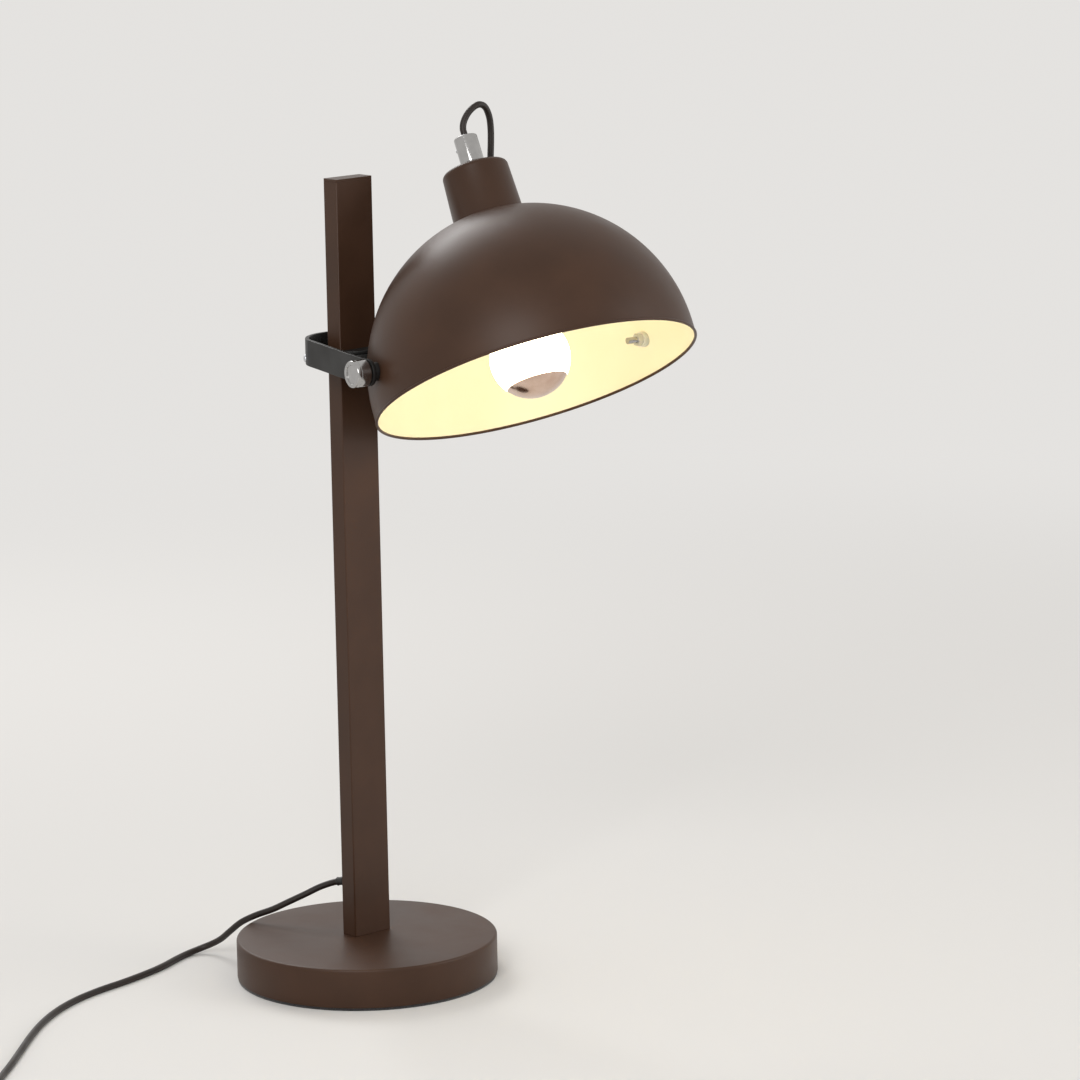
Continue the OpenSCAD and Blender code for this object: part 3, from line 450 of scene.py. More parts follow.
# ---- Post ----
# A flat steel tube in the same brown paint, with a pressed lid. It stands on a steel foot
# block that two bolts pull down. A ribbed rubber sleeve guides the lead out of its back.
post_x = 5.0
post_y = 6.0
lead_exit = Vector(mains_route[0])
boot_inside = 3.5
boot_length = 24.0
boot_root_r = 4.5
boot_tip_r = 3.0
boot_ribs = 6
boot_rib_r = 0.13
boot_collar_r = 5.5
boot_collar_t = 2.0
boot_collar_edge = 0.8


def rubber_finish():
    material = new_finish("black_rubber", (0.016, 0.0145, 0.014), 0.55)
    mottle(material, noise_on(material, 120), (0.012, 0.011, 0.0105), (0.024, 0.022, 0.021), (0.48, 0.64))
    raise_grain(material, noise_on(material, 1900, 3), 0.03)
    return material


def new_tree(name, inputs):
    """A Geometry Nodes tree with named inputs, and the sockets that give them."""
    tree = bpy.data.node_groups.new(name, "GeometryNodeTree")
    tree.interface.new_socket("Geometry", in_out="OUTPUT", socket_type="NodeSocketGeometry")
    tree.interface.new_socket("Line", in_out="INPUT", socket_type="NodeSocketGeometry")
    for label, kind in inputs.items():
        tree.interface.new_socket(label, in_out="INPUT", socket_type="NodeSocket" + kind)
    return tree, tree.nodes.new("NodeGroupInput").outputs


def close_tree(tree, parts, finish):
    """Ends a tree in real geometry with its finish, since copies would be lost later."""
    join = add_node(tree, "GeometryNodeJoinGeometry")
    for part in parts:
        tree.links.new(part, join.inputs[0])
    real = add_node(tree, "GeometryNodeRealizeInstances", {"Geometry": join.outputs[0]})
    done = add_node(tree, "GeometryNodeSetMaterial", {"Geometry": real.outputs[0], "Material": finish})
    add_node(tree, "NodeGroupOutput", {"Geometry": done.outputs[0]})


def grow(name, tree, sizes, line=()):
    """A plain mesh made by the tree from its sizes, and from a line of points if it has one."""
    mesh = bpy.data.meshes.new(name)
    mesh.from_pydata([tuple(p) for p in line], [(i, i + 1) for i in range(len(line) - 1)], [])
    source = show(name + "_source", mesh)
    modifier = source.modifiers.new("grow", "NODES")
    modifier.node_group = tree
    for item in tree.interface.items_tree:
        if item.in_out == "INPUT" and item.name in sizes:
            modifier[item.identifier] = sizes[item.name]
    result = bpy.data.meshes.new_from_object(
        source.evaluated_get(bpy.context.evaluated_depsgraph_get()))
    bpy.data.objects.remove(source)
    result.name = name
    result.materials.clear()
    result.materials.append(sizes["Finish"])
    result.polygons.foreach_set("material_index", [0] * len(result.polygons))
    smooth(result)
    return result


def boot_tree():
    """A tapering sleeve along a line, with ribs across it."""
    tree, given = new_tree("ribbed_sleeve", {"Radius at the root": "Float", "Radius at the tip": "Float",
        "Ribs": "Int", "Rib size": "Float", "Finish": "Material"})
    path = add_node(tree, "GeometryNodeMeshToCurve", {"Mesh": given["Line"]}).outputs["Curve"]
    along = add_node(tree, "GeometryNodeSplineParameter").outputs["Factor"]
    taper = add_node(tree, "ShaderNodeMapRange", {"Value": along, "To Min": given["Radius at the root"],
        "To Max": given["Radius at the tip"]}).outputs["Result"]
    fine = add_node(tree, "GeometryNodeResampleCurve", {"Curve": path, "Count": 24})
    core_line = add_node(tree, "GeometryNodeSetCurveRadius", {"Curve": fine.outputs["Curve"],
        "Radius": taper})
    ring = add_node(tree, "GeometryNodeCurvePrimitiveCircle", {"Resolution": 40, "Radius": 1.0})
    core = add_node(tree, "GeometryNodeCurveToMesh", {"Curve": core_line.outputs["Curve"],
        "Profile Curve": ring.outputs["Curve"], "Fill Caps": True,
        "Scale": add_node(tree, "GeometryNodeInputRadius").outputs["Radius"]})
    rib_wire = add_node(tree, "GeometryNodeCurvePrimitiveCircle", {"Resolution": 8,
        "Radius": given["Rib size"]})
    rib = add_node(tree, "GeometryNodeCurveToMesh", {"Curve": ring.outputs["Curve"],
        "Profile Curve": rib_wire.outputs["Curve"]})
    stops = add_node(tree, "GeometryNodeResampleCurve", {"Curve": path, "Count": given["Ribs"]})
    facing = add_node(tree, "FunctionNodeAlignRotationToVector", {
        "Vector": add_node(tree, "GeometryNodeInputTangent").outputs[0]}, axis="Z")
    ribs = add_node(tree, "GeometryNodeInstanceOnPoints", {"Points": stops.outputs["Curve"],
        "Instance": rib.outputs["Mesh"], "Rotation": facing.outputs["Rotation"], "Scale": taper})
    close_tree(tree, [core.outputs["Mesh"], ribs.outputs["Instances"]], given["Finish"])
    return tree


def first_of(line, length):
    """The start of a line, up to that length."""
    part = [line[0]]
    left = length
    for a, b in zip(line, line[1:]):
        step = (b - a).length
        if step >= left:
            return part + [a + (b - a) * (left / step)]
        part.append(b)
        left -= step
    return part


black_rubber = rubber_finish()
ribbed_sleeve = boot_tree()
dress(brown_paint, "post_tube", "post_lid", edge=0.35)
dress(plated_steel, "post_foot", "foot_screw", edge=0.2)


def joined(name, *meshes):
    """One mesh out of several that share their list of finishes."""
    shape = bmesh.new()
    for mesh in meshes:
        shape.from_mesh(mesh)
    result = bpy.data.meshes.new(name)
    shape.to_mesh(result)
    shape.free()
    for finish in meshes[0].materials:
        result.materials.append(finish)
    return result


def lay_boot():
    """The sleeve starts inside the post, and its round collar lies against the rear face."""
    line = [lead_exit - Vector((0, boot_inside, 0))] + smooth_line(mains_route)
    sleeve = grow("exit_sleeve", ribbed_sleeve, {"Radius at the root": boot_root_r,
        "Radius at the tip": boot_tip_r, "Ribs": boot_ribs, "Rib size": boot_rib_r,
        "Finish": black_rubber}, first_of(line, boot_inside + boot_length))
    edge = boot_collar_edge
    profile = [(0, 0), (boot_collar_r, 0)] + arc(boot_collar_r - edge, boot_collar_t - edge, edge, 0, 90, 4)
    collar = turned("collar", profile + [(0, boot_collar_t)], black_rubber, 48)
    collar.transform(Matrix.Translation(lead_exit) @ Matrix.Rotation(-math.pi / 2, 4, "X"))
    return joined("exit_sleeve", sleeve, collar)


fit_piece("exit_sleeve", lay_boot(), Matrix.Identity(4), "base", "black_plastic", "cord_relief")

# ---- Slider ----
# A moulded bush that slides on the post. A nylon pad on a bowed leaf spring grips the
# post in front, so that the lamp stays where it is put.


def plastic_finish():
    """Moulded black plastic with a spark-eroded grain."""
    material = new_finish("black_plastic", (0.013, 0.0125, 0.012), 0.48, Specular_IOR_Level=0.35)
    mottle(material, noise_on(material, 70, 3), (0.011, 0.0105, 0.010), (0.017, 0.0165, 0.016),
        (0.42, 0.56))
    raise_grain(material, noise_on(material, 2400, 2), 0.04)
    return material


def nylon_finish():
    material = new_finish("nylon", (0.72, 0.69, 0.60), 0.42, Subsurface_Weight=0.12)
    mottle(material, noise_on(material, 160, 3), (0.68, 0.65, 0.56), (0.76, 0.73, 0.65), (0.36, 0.5))
    raise_grain(material, noise_on(material, 1500, 2), 0.02)
    return material


black_plastic = plastic_finish()
nylon = nylon_finish()
dress(black_plastic, "slider_sleeve", edge=0.3)
dress(nylon, "slider_pad", edge=0.3)
dress(plated_steel, "pad_spring")

# ---- Yoke ----
# A steel strap in satin black paint, bent to a fork round the shade. A moulded ring turns
# on the slider, and two slotted screws hold the strap to it. A clip holds the lead.
swivel = next(joint for joint in frame["joints"] if joint["name"] == "yoke_swivel")
tilt = next(joint for joint in frame["joints"] if joint["name"] == "shade_tilt")
yoke_turn = Matrix.Rotation(math.atan2(tilt["axis"][1], tilt["axis"][0]), 4, "Z")
yoke_place = Matrix.Translation(swivel["pos_m"]) @ yoke_turn
strap_outside_r = 35.0
strap_screw_level = -5.45
strap_screw_first = 108.0
strap_screw_apart = 44.0


def black_finish():
    """Satin black paint on bent strip."""
    material = new_finish("black_paint", (0.0085, 0.0075, 0.0068), 0.42, Specular_IOR_Level=0.2)
    mottle(material, noise_on(material, 30, 4), (0.007, 0.0062, 0.0056), (0.011, 0.0098, 0.009),
        (0.38, 0.5))
    raise_grain(material, noise_on(material, 1500, 2), 0.03)
    return material


def maths(tree, operation, a, b=0.0):
    return add_node(tree, "ShaderNodeMath", {0: a, 1: b}, operation=operation).outputs[0]


def on_circle(tree, radius, angle, height=0.0):
    """The place at that angle on a circle about Z."""
    return add_node(tree, "ShaderNodeCombineXYZ", {
        "X": maths(tree, "MULTIPLY", radius, maths(tree, "COSINE", angle)),
        "Y": maths(tree, "MULTIPLY", radius, maths(tree, "SINE", angle)), "Z": height}).outputs[0]


def screws_tree():
    """Round slotted screws at equal angles on a circle; lean 90 points them outwards."""
    tree, given = new_tree("slotted_screws", {"Screws": "Int", "First angle": "Float",
        "Angle apart": "Float", "Circle radius": "Float", "Lean": "Float", "Head radius": "Float",
        "Head height": "Float", "Slot width": "Float", "Shank radius": "Float",
        "Shank length": "Float", "Finish": "Material"})
    number = add_node(tree, "GeometryNodeInputIndex").outputs[0]
    angle = maths(tree, "ADD", given["First angle"], maths(tree, "MULTIPLY", number, given["Angle apart"]))
    angle = maths(tree, "RADIANS", angle)
    spots = add_node(tree, "GeometryNodePoints", {"Count": given["Screws"],
        "Position": on_circle(tree, given["Circle radius"], angle)})
    aim = add_node(tree, "ShaderNodeCombineXYZ", {"Y": maths(tree, "RADIANS", given["Lean"]), "Z": angle})
    ball = add_node(tree, "GeometryNodeMeshUVSphere", {"Segments": 40, "Rings": 20,
        "Radius": given["Head radius"]})
    flat = add_node(tree, "ShaderNodeCombineXYZ", {"X": 1.0, "Y": 1.0,
        "Z": maths(tree, "DIVIDE", given["Head height"], given["Head radius"])})
    dome = add_node(tree, "GeometryNodeTransform", {"Geometry": ball.outputs["Mesh"],
        "Scale": flat.outputs[0]})
    cutter_length = maths(tree, "MULTIPLY", given["Head radius"], 3.0)
    cutter_size = add_node(tree, "ShaderNodeCombineXYZ", {"X": cutter_length, "Y": given["Slot width"],
        "Z": given["Head height"]})
    cutter = add_node(tree, "GeometryNodeMeshCube", {"Size": cutter_size.outputs[0]})
    lift = add_node(tree, "ShaderNodeCombineXYZ", {"Z": given["Head height"]})
    raised = add_node(tree, "GeometryNodeTransform", {"Geometry": cutter.outputs["Mesh"],
        "Translation": lift.outputs[0]})
    head = add_node(tree, "GeometryNodeMeshBoolean", {"Mesh 1": dome.outputs["Geometry"],
        "Mesh 2": raised.outputs["Geometry"]}, operation="DIFFERENCE")
    shank = add_node(tree, "GeometryNodeMeshCylinder", {"Vertices": 24, "Radius": given["Shank radius"],
        "Depth": given["Shank length"]})
    sunk = add_node(tree, "ShaderNodeCombineXYZ", {
        "Z": maths(tree, "MULTIPLY", given["Shank length"], -0.5)})
    lowered = add_node(tree, "GeometryNodeTransform", {"Geometry": shank.outputs["Mesh"],
        "Translation": sunk.outputs[0]})
    screw = add_node(tree, "GeometryNodeJoinGeometry")
    for part in (head.outputs["Mesh"], lowered.outputs["Geometry"]):
        tree.links.new(part, screw.inputs[0])
    copies = add_node(tree, "GeometryNodeInstanceOnPoints", {"Points": spots.outputs[0],
        "Instance": screw.outputs[0], "Rotation": aim.outputs[0]})
    close_tree(tree, [copies.outputs["Instances"]], given["Finish"])
    return tree


black_paint = black_finish()
slotted_screws = screws_tree()
dress(black_paint, "yoke_strap", edge=0.5)
dress(black_plastic, "yoke_ring", "cord_clip", edge=0.3)
dress(plated_steel, "clip_screw", edge=0.2)


def strap_screws_mesh():
    mesh = grow("strap_screws", slotted_screws, {"Screws": 2, "First angle": strap_screw_first,
        "Angle apart": strap_screw_apart, "Circle radius": strap_outside_r, "Lean": 90.0,
        "Head radius": 3.0, "Head height": 1.6, "Slot width": 0.8, "Shank radius": 1.45,
        "Shank length": 14.0, "Finish": plated_steel})
    mesh.transform(Matrix.Translation((0, 0, strap_screw_level)))
    return mesh


fit_piece("strap_screws", strap_screws_mesh(), yoke_place, "yoke", "steel", "yoke_screws")

# ---- Leads in the lamp ----
# The same lead runs on inside the post, out through the slot behind the slider, along the
# strap and up the back of the shade, and loops over into the grip.
# Its points are measured in millimetres from the middle of the yoke's swivel.
post_place = Matrix.Translation((post_x * MM, post_y * MM, swivel["pos_m"][2]))
loop_route = [
    (79, -40.7, 157.7), (79, -38.1, 162.6), (80.6, -36.5, 168.1), (84.4, -35.9, 173.9),
    (89.6, -35.8, 178.4), (95.3, -35.9, 180.5), (100.8, -35.5, 178), (104.7, -34.9, 170.4),
    (106.1, -34.5, 161), (106, -34.5, 151), (105.6, -34.5, 143), (105, -34.5, 130),
    (104.4, -34, 110), (102, -31.5, 92), (97, -24.5, 75), (89, -15.5, 58), (79.5, -7, 42),
    (70, 1, 27), (62.5, 10, 15.5), (56.5, 19, 8.5), (50.5, 26.3, 5.4), (44.5, 29.3, 5),
    (37.8, 29.3, 5),
]
bridge_route = [
    (37.8, 29.3, 5), (33, 29.3, 5), (25, 28, 6), (16.5, 24, 7.2), (9, 18.8, 7.6), (3.5, 15, 6),
    (0.8, 13, 2.5), (0, 12.5, -1), (0, 12.5, -3),
]
inner_route = [
    (0, 12.5, -3), (0, 12.5, -8), (0, 11, -15), (0, 7.5, -22), (0, 3.5, -29), (0, 0.8, -37),
    (0, 0, -46), (0, 0, -60), (0, 0, -90), (0, 0, -150), (0, 0, -230), (0, 0, -300), (0, 0, -350),
    (0, -0.9, -375), (0, -2.3, -389), (0, -3, -398), (0, -2.7, -407), (0, -0.8, -413.5),
    (0, 3, -417.3), (0, 4.5, -417.5), (0, 7.5, -417.5),
]


def lay_inner_lead(name, route, place, node):
    """A stretch of lead along its route, made into a tube and set in place as it stands."""
    data = lead_curve(name, smooth_line(route))
    holder = show(name + "_line", data)
    mesh = bpy.data.meshes.new_from_object(
        holder.evaluated_get(bpy.context.evaluated_depsgraph_get()))
    bpy.data.objects.remove(holder)
    mesh.transform(place)
    mesh.shade_smooth()
    lead = show(name, mesh)
    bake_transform(lead)
    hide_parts(node)


lay_inner_lead("loop_lead", loop_route, yoke_place, "loop_cord")
lay_inner_lead("strap_lead", bridge_route, yoke_place, "bridge_cord")
lay_inner_lead("post_lead", inner_route, post_place, "inner_cord")

# ---- Hinge ----
# The shade hangs on two short bolts through the strap's rounded pads. The near one carries
# a turned chrome knob that clamps it, the far one a round chrome screw with a nut inside.
shade_lean = 27.5
hinge_lean = Matrix.Rotation(math.radians(-shade_lean), 4, "X")
hinge_place = Matrix.Translation(tilt["pos_m"]) @ yoke_turn @ hinge_lean
knob_face = 141.92
knob_r = 10.0
knob_length = 12.0
knob_edge = 1.1
knob_foot_edge = 0.8
knob_collar_r = 7.0
knob_collar_t = 1.0
knob_bore_r = 2.6
knob_bore_end = 1.9
knob_dish_r = 6.85
knob_dish_depth = 0.9
knob_dish_corner = 0.45
knob_dish_edge = 0.25
knob_groove = 0.35
knob_groove_high = 3.1
knob_groove_low = 4.0


def chrome_finish():
    """Bright chrome over turned brass: faint turning marks and a few dull spots."""
    material = new_finish("chrome", (0.42, 0.415, 0.41), 0.12, 1.0)
    mottle(material, noise_on(material, 150, 3), (0.395, 0.39, 0.385), (0.445, 0.44, 0.435), (0.10, 0.15))
    raise_grain(material, noise_on(material, 600, 2), 0.0012)
    return material


chrome = chrome_finish()
dress(nylon, "hinge_washers", "hinge_seats", edge=0.15)
dress(black_plastic, "hinge_bosses", edge=0.3)
dress(chrome, "hinge_bolt", "hinge_screw", edge=0.3)
dress(plated_steel, "hinge_nut", edge=0.25)


def knob_mesh():
    """Drawn with its dished face at height 0 and its foot at the strap, along -Z."""
    foot = -knob_length
    back = foot - knob_collar_t
    corner = knob_dish_r - knob_dish_corner
    profile = [(0, -knob_dish_depth), (corner - 0.6, -knob_dish_depth)]
    profile += arc(corner, -knob_dish_corner, knob_dish_corner, 270, 360, 3)
    profile += [(knob_dish_r, -knob_dish_edge), (knob_dish_r + knob_dish_edge, 0), (knob_r - 1.3, 0)]
    profile += arc(knob_r - knob_edge, -knob_edge, knob_edge, 80, 0, 5)
    profile += [(knob_r, -knob_groove_high), (knob_r - knob_groove, -knob_groove_high - 0.25)]
    profile += [(knob_r - knob_groove, -knob_groove_low + 0.25), (knob_r, -knob_groove_low)]
    profile += arc(knob_r - knob_foot_edge, foot + knob_foot_edge, knob_foot_edge, 0, -90, 4)
    profile += [(knob_collar_r, foot), (knob_collar_r, back), (knob_bore_r, back)]
    profile += [(knob_bore_r, -knob_bore_end), (0, -knob_bore_end)]
    return turned("chrome_knob", profile, chrome, 96, 25)


knob_axis = Matrix.Rotation(-math.pi / 2, 4, "Y")
knob_place = hinge_place @ Matrix.Translation((-knob_face * MM, 0, 0)) @ knob_axis
fit_piece("chrome_knob", knob_mesh(), knob_place, "knob", "chrome", "tilt_knob")

# ---- Shade ----
# A spun steel dome, brown outside and cream enamel inside, with a rolled bead on its rim.
# A tapering neck is welded on top, and a plated disc inside takes the clamping nuts.
shade_r = 123.0
shade_t = 1.0
shade_lip = 8.5
bead_r = 1.1
neck_foot_r = 26.75
neck_top_r = 25.25
neck_height = 41.0
neck_round = 4.0
neck_t = 1.2
neck_hole_r = 21.75
neck_bore_r = 6.0
neck_weld = 0.7
hinge_back = 20.0
hinge_up = 19.0
neck_low = math.sqrt(shade_r ** 2 - neck_foot_r ** 2)
neck_top = neck_low + neck_height
shade_place = hinge_place @ Matrix.Translation((0, -hinge_back * MM, -hinge_up * MM))


def on_shade_axis(height):
    """That far above the dome's middle, along the shade's own axis."""
    return shade_place @ Matrix.Translation((0, 0, height * MM))


def cream_finish():
    """Glossy cream enamel, a little yellowed, with a slight orange peel."""
    material = new_finish("cream_enamel", (0.85, 0.80, 0.61), 0.34)
    mottle(material, noise_on(material, 18, 2), (0.84, 0.785, 0.59), (0.86, 0.815, 0.63), (0.31, 0.37))
    raise_grain(material, noise_on(material, 900, 2), 0.02)
    return material


def dome_tree():
    """Bends a flat grid into a ball's upper part with a straight lip below it."""
    tree, given = new_tree("spun_dome", {"Meridians": "Int", "Rings": "Int", "Radius": "Float",
        "Hole radius": "Float", "Lip": "Float", "Finish": "Material"})
    grid = add_node(tree, "GeometryNodeMeshGrid", {"Size X": 1.0, "Size Y": 1.0,
        "Vertices X": given["Meridians"], "Vertices Y": given["Rings"]})
    flat = add_node(tree, "GeometryNodeInputPosition").outputs[0]
    spot = add_node(tree, "ShaderNodeSeparateXYZ", {0: flat})
    turn = maths(tree, "MULTIPLY", maths(tree, "ADD", spot.outputs["X"], 0.5), 2 * math.pi)
    share = maths(tree, "ADD", spot.outputs["Y"], 0.5)
    steepest = maths(tree, "ARCCOSINE", maths(tree, "DIVIDE", given["Hole radius"], given["Radius"]))
    ball = maths(tree, "MULTIPLY", steepest, given["Radius"])
    way = maths(tree, "MULTIPLY", share, maths(tree, "ADD", ball, given["Lip"]))
    on_ball = maths(tree, "MINIMUM", way, ball)
    height = maths(tree, "SUBTRACT", steepest, maths(tree, "DIVIDE", on_ball, given["Radius"]))
    out = maths(tree, "MULTIPLY", given["Radius"], maths(tree, "COSINE", height))
    up = maths(tree, "SUBTRACT", maths(tree, "MULTIPLY", given["Radius"], maths(tree, "SINE", height)),
        maths(tree, "SUBTRACT", way, on_ball))
    bent = add_node(tree, "GeometryNodeSetPosition", {"Geometry": grid.outputs["Mesh"],
        "Position": on_circle(tree, out, turn, up)})
    closed = add_node(tree, "GeometryNodeMergeByDistance", {"Geometry": bent.outputs[0],
        "Distance": 0.001})
    close_tree(tree, [closed.outputs[0]], given["Finish"])
    return tree


def shaped(mesh, kind, **settings):
    """The mesh with that modifier made final."""
    holder = show("holder", mesh)
    modifier = holder.modifiers.new("shape", kind)
    for name, value in settings.items():
        setattr(modifier, name, value)
    result = bpy.data.meshes.new_from_object(
        holder.evaluated_get(bpy.context.evaluated_depsgraph_get()))
    bpy.data.objects.remove(holder)
    return result


def dome_mesh():
    """The dome's sheet gets its wall, which is cream inside, and its rolled bead."""
    sheet = grow("painted_dome", dome_tree(), {"Meridians": 193, "Rings": 56, "Radius": shade_r,
        "Hole radius": neck_hole_r, "Lip": shade_lip, "Finish": brown_paint})
    shape = bmesh.new()
    shape.from_mesh(sheet)
    bmesh.ops.recalc_face_normals(shape, faces=shape.faces)
    top = max(shape.faces, key=lambda face: face.calc_center_median().z)
    if top.normal.z < 0:
        bmesh.ops.reverse_faces(shape, faces=shape.faces)
    shape.to_mesh(sheet)
    shape.free()
    sheet.materials.append(cream_enamel)
    wall = shaped(sheet, "SOLIDIFY", thickness=shade_t, offset=-1.0, material_offset=1,
        use_even_offset=True)
    bead_outline = arc(shade_r - shade_t / 2, -shade_lip, bead_r, 0, 360, 16)[:-1]
    bead = turned("bead", bead_outline, brown_paint, 192)
    mesh = joined("painted_dome", wall, bead)
    smooth(mesh, 40)
    return mesh


def neck_mesh():
    """A hollow cup, a little wider where it is welded to the dome, with a rounded top."""
    turn_r = neck_top_r - neck_round
    inside_top = neck_top - neck_t
    profile = [(neck_bore_r, inside_top), (turn_r, inside_top)]
    profile += [(neck_top_r - neck_t, neck_top - neck_round), (neck_foot_r - neck_t, neck_low)]
    profile += [(neck_foot_r + neck_weld, neck_low - 0.25)]
    profile += [(neck_foot_r + neck_weld / 3, neck_low + neck_weld / 3)]
    profile += [(neck_foot_r - 0.03, neck_low + neck_weld)]
    profile += arc(turn_r, neck_top - neck_round, neck_round, 2, 90, 10) + [(neck_bore_r, neck_top)]
    return turned("painted_neck", profile, brown_paint, 128)


cream_enamel = cream_finish()
fit_piece("painted_dome", dome_mesh(), shade_place, "shade", "brown_paint", "shade_dome")
fit_piece("painted_neck", neck_mesh(), shade_place, "shade", "brown_paint", "shade_neck")
dress(plated_steel, "shade_bridge", edge=0.2)

# ---- Tube and grip ----
# A threaded brass tube runs through the neck and carries the lampholder. A chrome grip is
# screwed on its upper end, where a small set screw holds the lead.
grip_r = 9.0
grip_height = 25.0
grip_gap = 0.05
grip_bore_r = 3.1
grip_edge = 1.2
grip_mouth = 0.9
grip_groove = 0.4
grip_groove_low = 3.0
grip_groove_high = 4.1


def brass_finish():
    material = new_finish("brass", (0.62, 0.44, 0.19), 0.28, 1.0)
    mottle(material, noise_on(material, 110, 4), (0.50, 0.34, 0.14), (0.68, 0.50, 0.24), (0.22, 0.38))
    raise_grain(material, noise_on(material, 700, 3), 0.01)
    return material


def grip_mesh():
    """A round sleeve with a groove near its foot and a rounded mouth for the lead."""
    top = grip_height
    waist_r = grip_r - grip_groove
    profile = [(grip_bore_r, top - grip_edge), (grip_bore_r, grip_gap), (waist_r, grip_gap)]
    profile += [(grip_r, grip_gap + grip_groove), (grip_r, grip_groove_low)]
    profile += [(waist_r, grip_groove_low + 0.2), (waist_r, grip_groove_high - 0.2)]
    profile += [(grip_r, grip_groove_high)] + arc(grip_r - grip_edge, top - grip_edge, grip_edge, 0, 90, 5)
    profile += arc(grip_bore_r + grip_mouth, top - grip_mouth, grip_mouth, 90, 180, 4)
    return turned("chrome_grip", profile, chrome, 96, 25)


brass = brass_finish()
dress(brass, "cord_tube")
dress(brass, "tube_nuts", edge=0.3)
fit_piece("chrome_grip", grip_mesh(), on_shade_axis(neck_top), "shade", "chrome", "cord_grip")
dress(plated_steel, "grip_screw", edge=0.2)

# ---- Lampholder ----
# A black two-part lampholder hangs on the tube's lower end: a cap, a sleeve with a fluted
# collar, a glazed ceramic core and sprung brass contacts.
holder_low = 60.82
collar_low = 8.0
collar_height = 3.0
collar_r = 22.45
flutes = 36
flute_r = 0.55
flute_height = 2.6


def ceramic_finish():
    material = new_finish("ceramic", (0.84, 0.81, 0.74), 0.16, Coat_Weight=0.4)
    mottle(material, noise_on(material, 60, 4), (0.80, 0.77, 0.70), (0.87, 0.84, 0.78), (0.12, 0.24))
    raise_grain(material, noise_on(material, 700, 2), 0.02)
    return material


def flutes_tree():
    """Short round bars set upright on a circle."""
    tree, given = new_tree("fluted_collar", {"Flutes": "Int", "Circle radius": "Float",
        "Flute radius": "Float", "Height": "Float", "Finish": "Material"})
    turn = maths(tree, "MULTIPLY", add_node(tree, "GeometryNodeInputIndex").outputs[0],
        maths(tree, "DIVIDE", 2 * math.pi, given["Flutes"]))
    spots = add_node(tree, "GeometryNodePoints", {"Count": given["Flutes"],
        "Position": on_circle(tree, given["Circle radius"], turn)})
    bar = add_node(tree, "GeometryNodeMeshCylinder", {"Vertices": 12, "Radius": given["Flute radius"],
        "Depth": given["Height"]})
    bars = add_node(tree, "GeometryNodeInstanceOnPoints", {"Points": spots.outputs[0],
        "Instance": bar.outputs["Mesh"]})
    close_tree(tree, [bars.outputs["Instances"]], given["Finish"])
    return tree


ceramic = ceramic_finish()
dress(black_plastic, "holder_cap", "holder_sleeve", edge=0.4)
dress(ceramic, "holder_core", edge=0.5)
dress(brass, "holder_contacts", edge=0.15)
collar_flutes = grow("collar_flutes", flutes_tree(), {"Flutes": flutes, "Circle radius": collar_r,
    "Flute radius": flute_r, "Height": flute_height, "Finish": black_plastic})
fit_piece("collar_flutes", collar_flutes, on_shade_axis(holder_low + collar_low + collar_height / 2),
    "shade", "black_plastic")

# ---- Bulb ----
# A crown mirrored bulb, lit: satin glass that glows warm white, a silvered bowl on its
# lower end, and a nickel plated cap with a rolled thread.
bulb_r = 30.0
bulb_up = 8.817
bulb_neck = 49.0
bulb_cap_r = 13.0
glass_t = 0.8
silver_t = 0.02
crown_edge_r = 23.0
crown_edge_angle = -math.degrees(math.acos(crown_edge_r / bulb_r))
neck_angle = 52.0
cap_low = 57.82
cap_gap = 0.1
cap_wall = 0.8
cap_rim = 2.2
cap_rim_step = 0.5
cap_shoulder = 19.6
cap_height = 25.0
contact_r = 4.6
contact_height = 1.7
contact_edge = 1.0
thread_low = 3.0
thread_turns = 4.5
thread_pitch = 3.62
thread_wire_r = 0.95


def glass_finish():
    """Satin glass, lit from inside by the filament, with a faint unevenness in its polish."""
    material = new_finish("lit_glass", (0.95, 0.88, 0.74), 0.22, Emission_Color=(1.0, 0.86, 0.62, 1),
        Emission_Strength=7.0)
    mottle(material, noise_on(material, 40, 2), (0.93, 0.86, 0.72), (0.97, 0.91, 0.78), (0.18, 0.28))
    raise_grain(material, noise_on(material, 2600, 2), 0.01)
    return material


def mirror_finish():
    """Silvering seen through clear glass, its brown colour a painted reflection of the desk below."""
    # The brown base colour and its darker and lighter browns are painted reflection; real silvering is near
    # white.
    material = new_finish("mirror_crown", (0.72, 0.52, 0.41), 0.14, 1.0, Coat_Weight=0.5)
    mottle(material, noise_on(material, 90, 4), (0.62, 0.43, 0.33), (0.78, 0.59, 0.48), (0.10, 0.24))
    raise_grain(material, noise_on(material, 500, 3), 0.02)
    return material


def nickel_finish():
    material = new_finish("nickel", (0.60, 0.57, 0.52), 0.25, 1.0)
    mottle(material, noise_on(material, 120, 4), (0.52, 0.49, 0.44), (0.66, 0.63, 0.58), (0.18, 0.34))
    raise_grain(material, noise_on(material, 900, 3), 0.01)
    return material


def glass_outline(inset, steps=14):
    """From the crown's edge round the ball and up the neck, which leaves the ball smoothly."""
    ball_r = bulb_r - inset
    outline = arc(0, bulb_up, ball_r, crown_edge_angle, neck_angle, 30)
    start_out, start_up = outline[-1]
    end_out = bulb_cap_r - 0.6 - inset
    end_up = bulb_up + bulb_neck
    for i in range(1, steps + 1):
        t = i / steps
        bend = 1 - (1 - t) ** 2.2
        outline.append((start_out + (end_out - start_out) * bend, start_up + (end_up - start_up) * t))
    return outline


def glass_mesh():
    return turned("lit_bulb", glass_outline(0) + glass_outline(glass_t)[::-1], lit_glass, 96, 60)


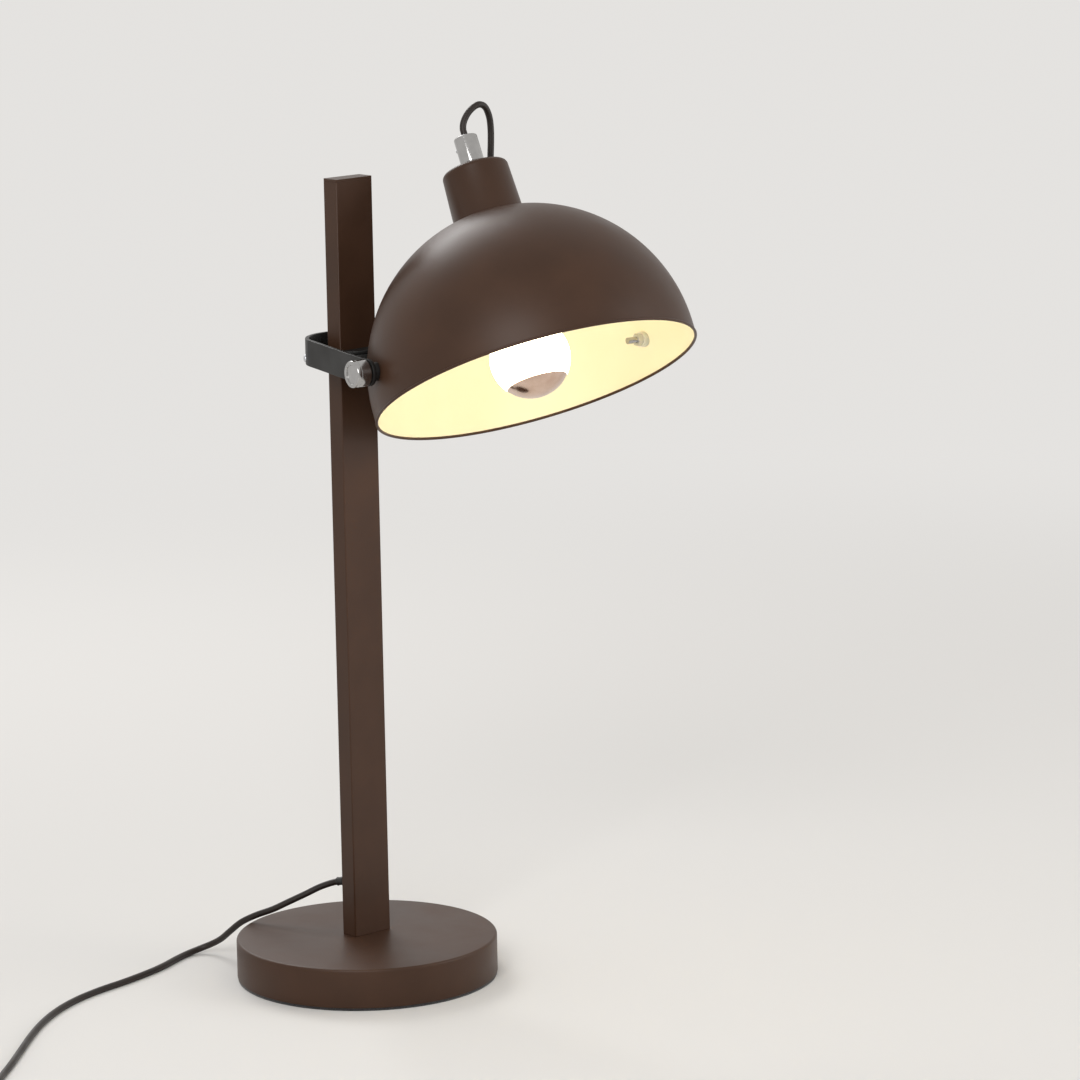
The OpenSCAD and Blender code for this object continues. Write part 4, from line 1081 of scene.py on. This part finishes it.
def crown_mesh():
    outside = arc(0, bulb_up, bulb_r + silver_t, -90, crown_edge_angle, 20)
    inside = arc(0, bulb_up, bulb_r - glass_t, crown_edge_angle, -90, 20)
    outside[0] = (0, outside[0][1])
    inside[-1] = (0, inside[-1][1])
    return turned("mirror_crown", outside + inside, mirror_crown, 96, 60)


def thread_tree():
    """A rolled thread: a round wire wound on a cylinder."""
    tree, given = new_tree("rolled_thread", {"Turns": "Float", "Core radius": "Float",
        "Height": "Float", "Wire radius": "Float", "Finish": "Material"})
    helix = add_node(tree, "GeometryNodeCurveSpiral", {"Resolution": 48, "Rotations": given["Turns"],
        "Start Radius": given["Core radius"], "End Radius": given["Core radius"],
        "Height": given["Height"]})
    wire = add_node(tree, "GeometryNodeCurvePrimitiveCircle", {"Resolution": 10,
        "Radius": given["Wire radius"]})
    thread = add_node(tree, "GeometryNodeCurveToMesh", {"Curve": helix.outputs["Curve"],
        "Profile Curve": wire.outputs["Curve"], "Fill Caps": True})
    close_tree(tree, [thread.outputs["Mesh"]], given["Finish"])
    return tree


def cap_mesh():
    """A thin shell with a plain rim, a threaded wall and a rounded contact on its end."""
    inside_r = bulb_cap_r - cap_wall
    inside_top = cap_shoulder - 0.6
    core_r = bulb_cap_r - cap_rim_step
    contact_low = cap_height - contact_height
    profile = [(0, inside_top), (inside_r, inside_top), (inside_r, cap_gap), (bulb_cap_r, cap_gap)]
    profile += [(bulb_cap_r, cap_rim), (core_r, cap_rim + 0.4), (core_r, cap_shoulder)]
    profile += [(core_r - 0.7, cap_shoulder + 0.6), (6, contact_low), (contact_r, contact_low)]
    profile += arc(contact_r - contact_edge, cap_height - contact_edge, contact_edge, 0, 90, 4)
    shell = turned("shell", profile + [(0, cap_height)], nickel, 72)
    thread = grow("thread", thread_tree(), {"Turns": thread_turns, "Core radius": core_r - 0.05,
        "Height": thread_turns * thread_pitch, "Wire radius": thread_wire_r, "Finish": nickel})
    thread.transform(Matrix.Translation((0, 0, thread_low)))
    return joined("bulb_thread", shell, thread)


def stem_finish():
    """Clear drawn glass, which holds the wires."""
    return new_finish("stem_glass", (0.92, 0.9, 0.84), 0.08, Transmission_Weight=0.9)


lit_glass = glass_finish()
mirror_crown = mirror_finish()
nickel = nickel_finish()
stem_glass = stem_finish()
fit_piece("lit_bulb", glass_mesh(), shade_place, "shade", "bulb_glass", "bulb_glass")
fit_piece("mirror_crown", crown_mesh(), shade_place, "shade", "mirror", "bulb_crown")
fit_piece("bulb_thread", cap_mesh(), on_shade_axis(cap_low), "shade", "nickel", "bulb_cap")
dress(stem_glass, "bulb_stem")

# ---- Hand switch ----
# Two black mouldings screwed together round the lead, with a rocker across the top. A
# rubber strap ties the spare lead in its coil.
dress(black_plastic, "switch_base", "switch_lid", edge=0.6)
dress(black_plastic, "switch_rocker", edge=0.35)
dress(plated_steel, "switch_screws", edge=0.2)
dress(black_rubber, "coil_tie", edge=0.3)

# ---- Plug ----
# A flat moulded plug with two brass pins and a ribbed sleeve where the lead goes in.
plug_at = Vector((-440, 90, 7))
plug_sleeve = 22.0
plug_sleeve_root_r = 4.9
plug_sleeve_tip_r = 3.2
plug_ribs = 7
plug_rib_r = 0.12
dress(black_plastic, "plug_body", edge=0.7)
dress(brass, "plug_pins", edge=0.25)
sleeve_line = [plug_at + Vector((x, 0, 0)) for x in (plug_sleeve, plug_sleeve / 2, 0)]
plug_boot = grow("plug_sleeve", ribbed_sleeve, {"Radius at the root": plug_sleeve_root_r,
    "Radius at the tip": plug_sleeve_tip_r, "Ribs": plug_ribs, "Rib size": plug_rib_r,
    "Finish": black_rubber}, sleeve_line)
fit_piece("plug_sleeve", plug_boot, Matrix.Identity(4), "base", "cord_rubber", "plug_relief")

bpy.context.view_layer.update()
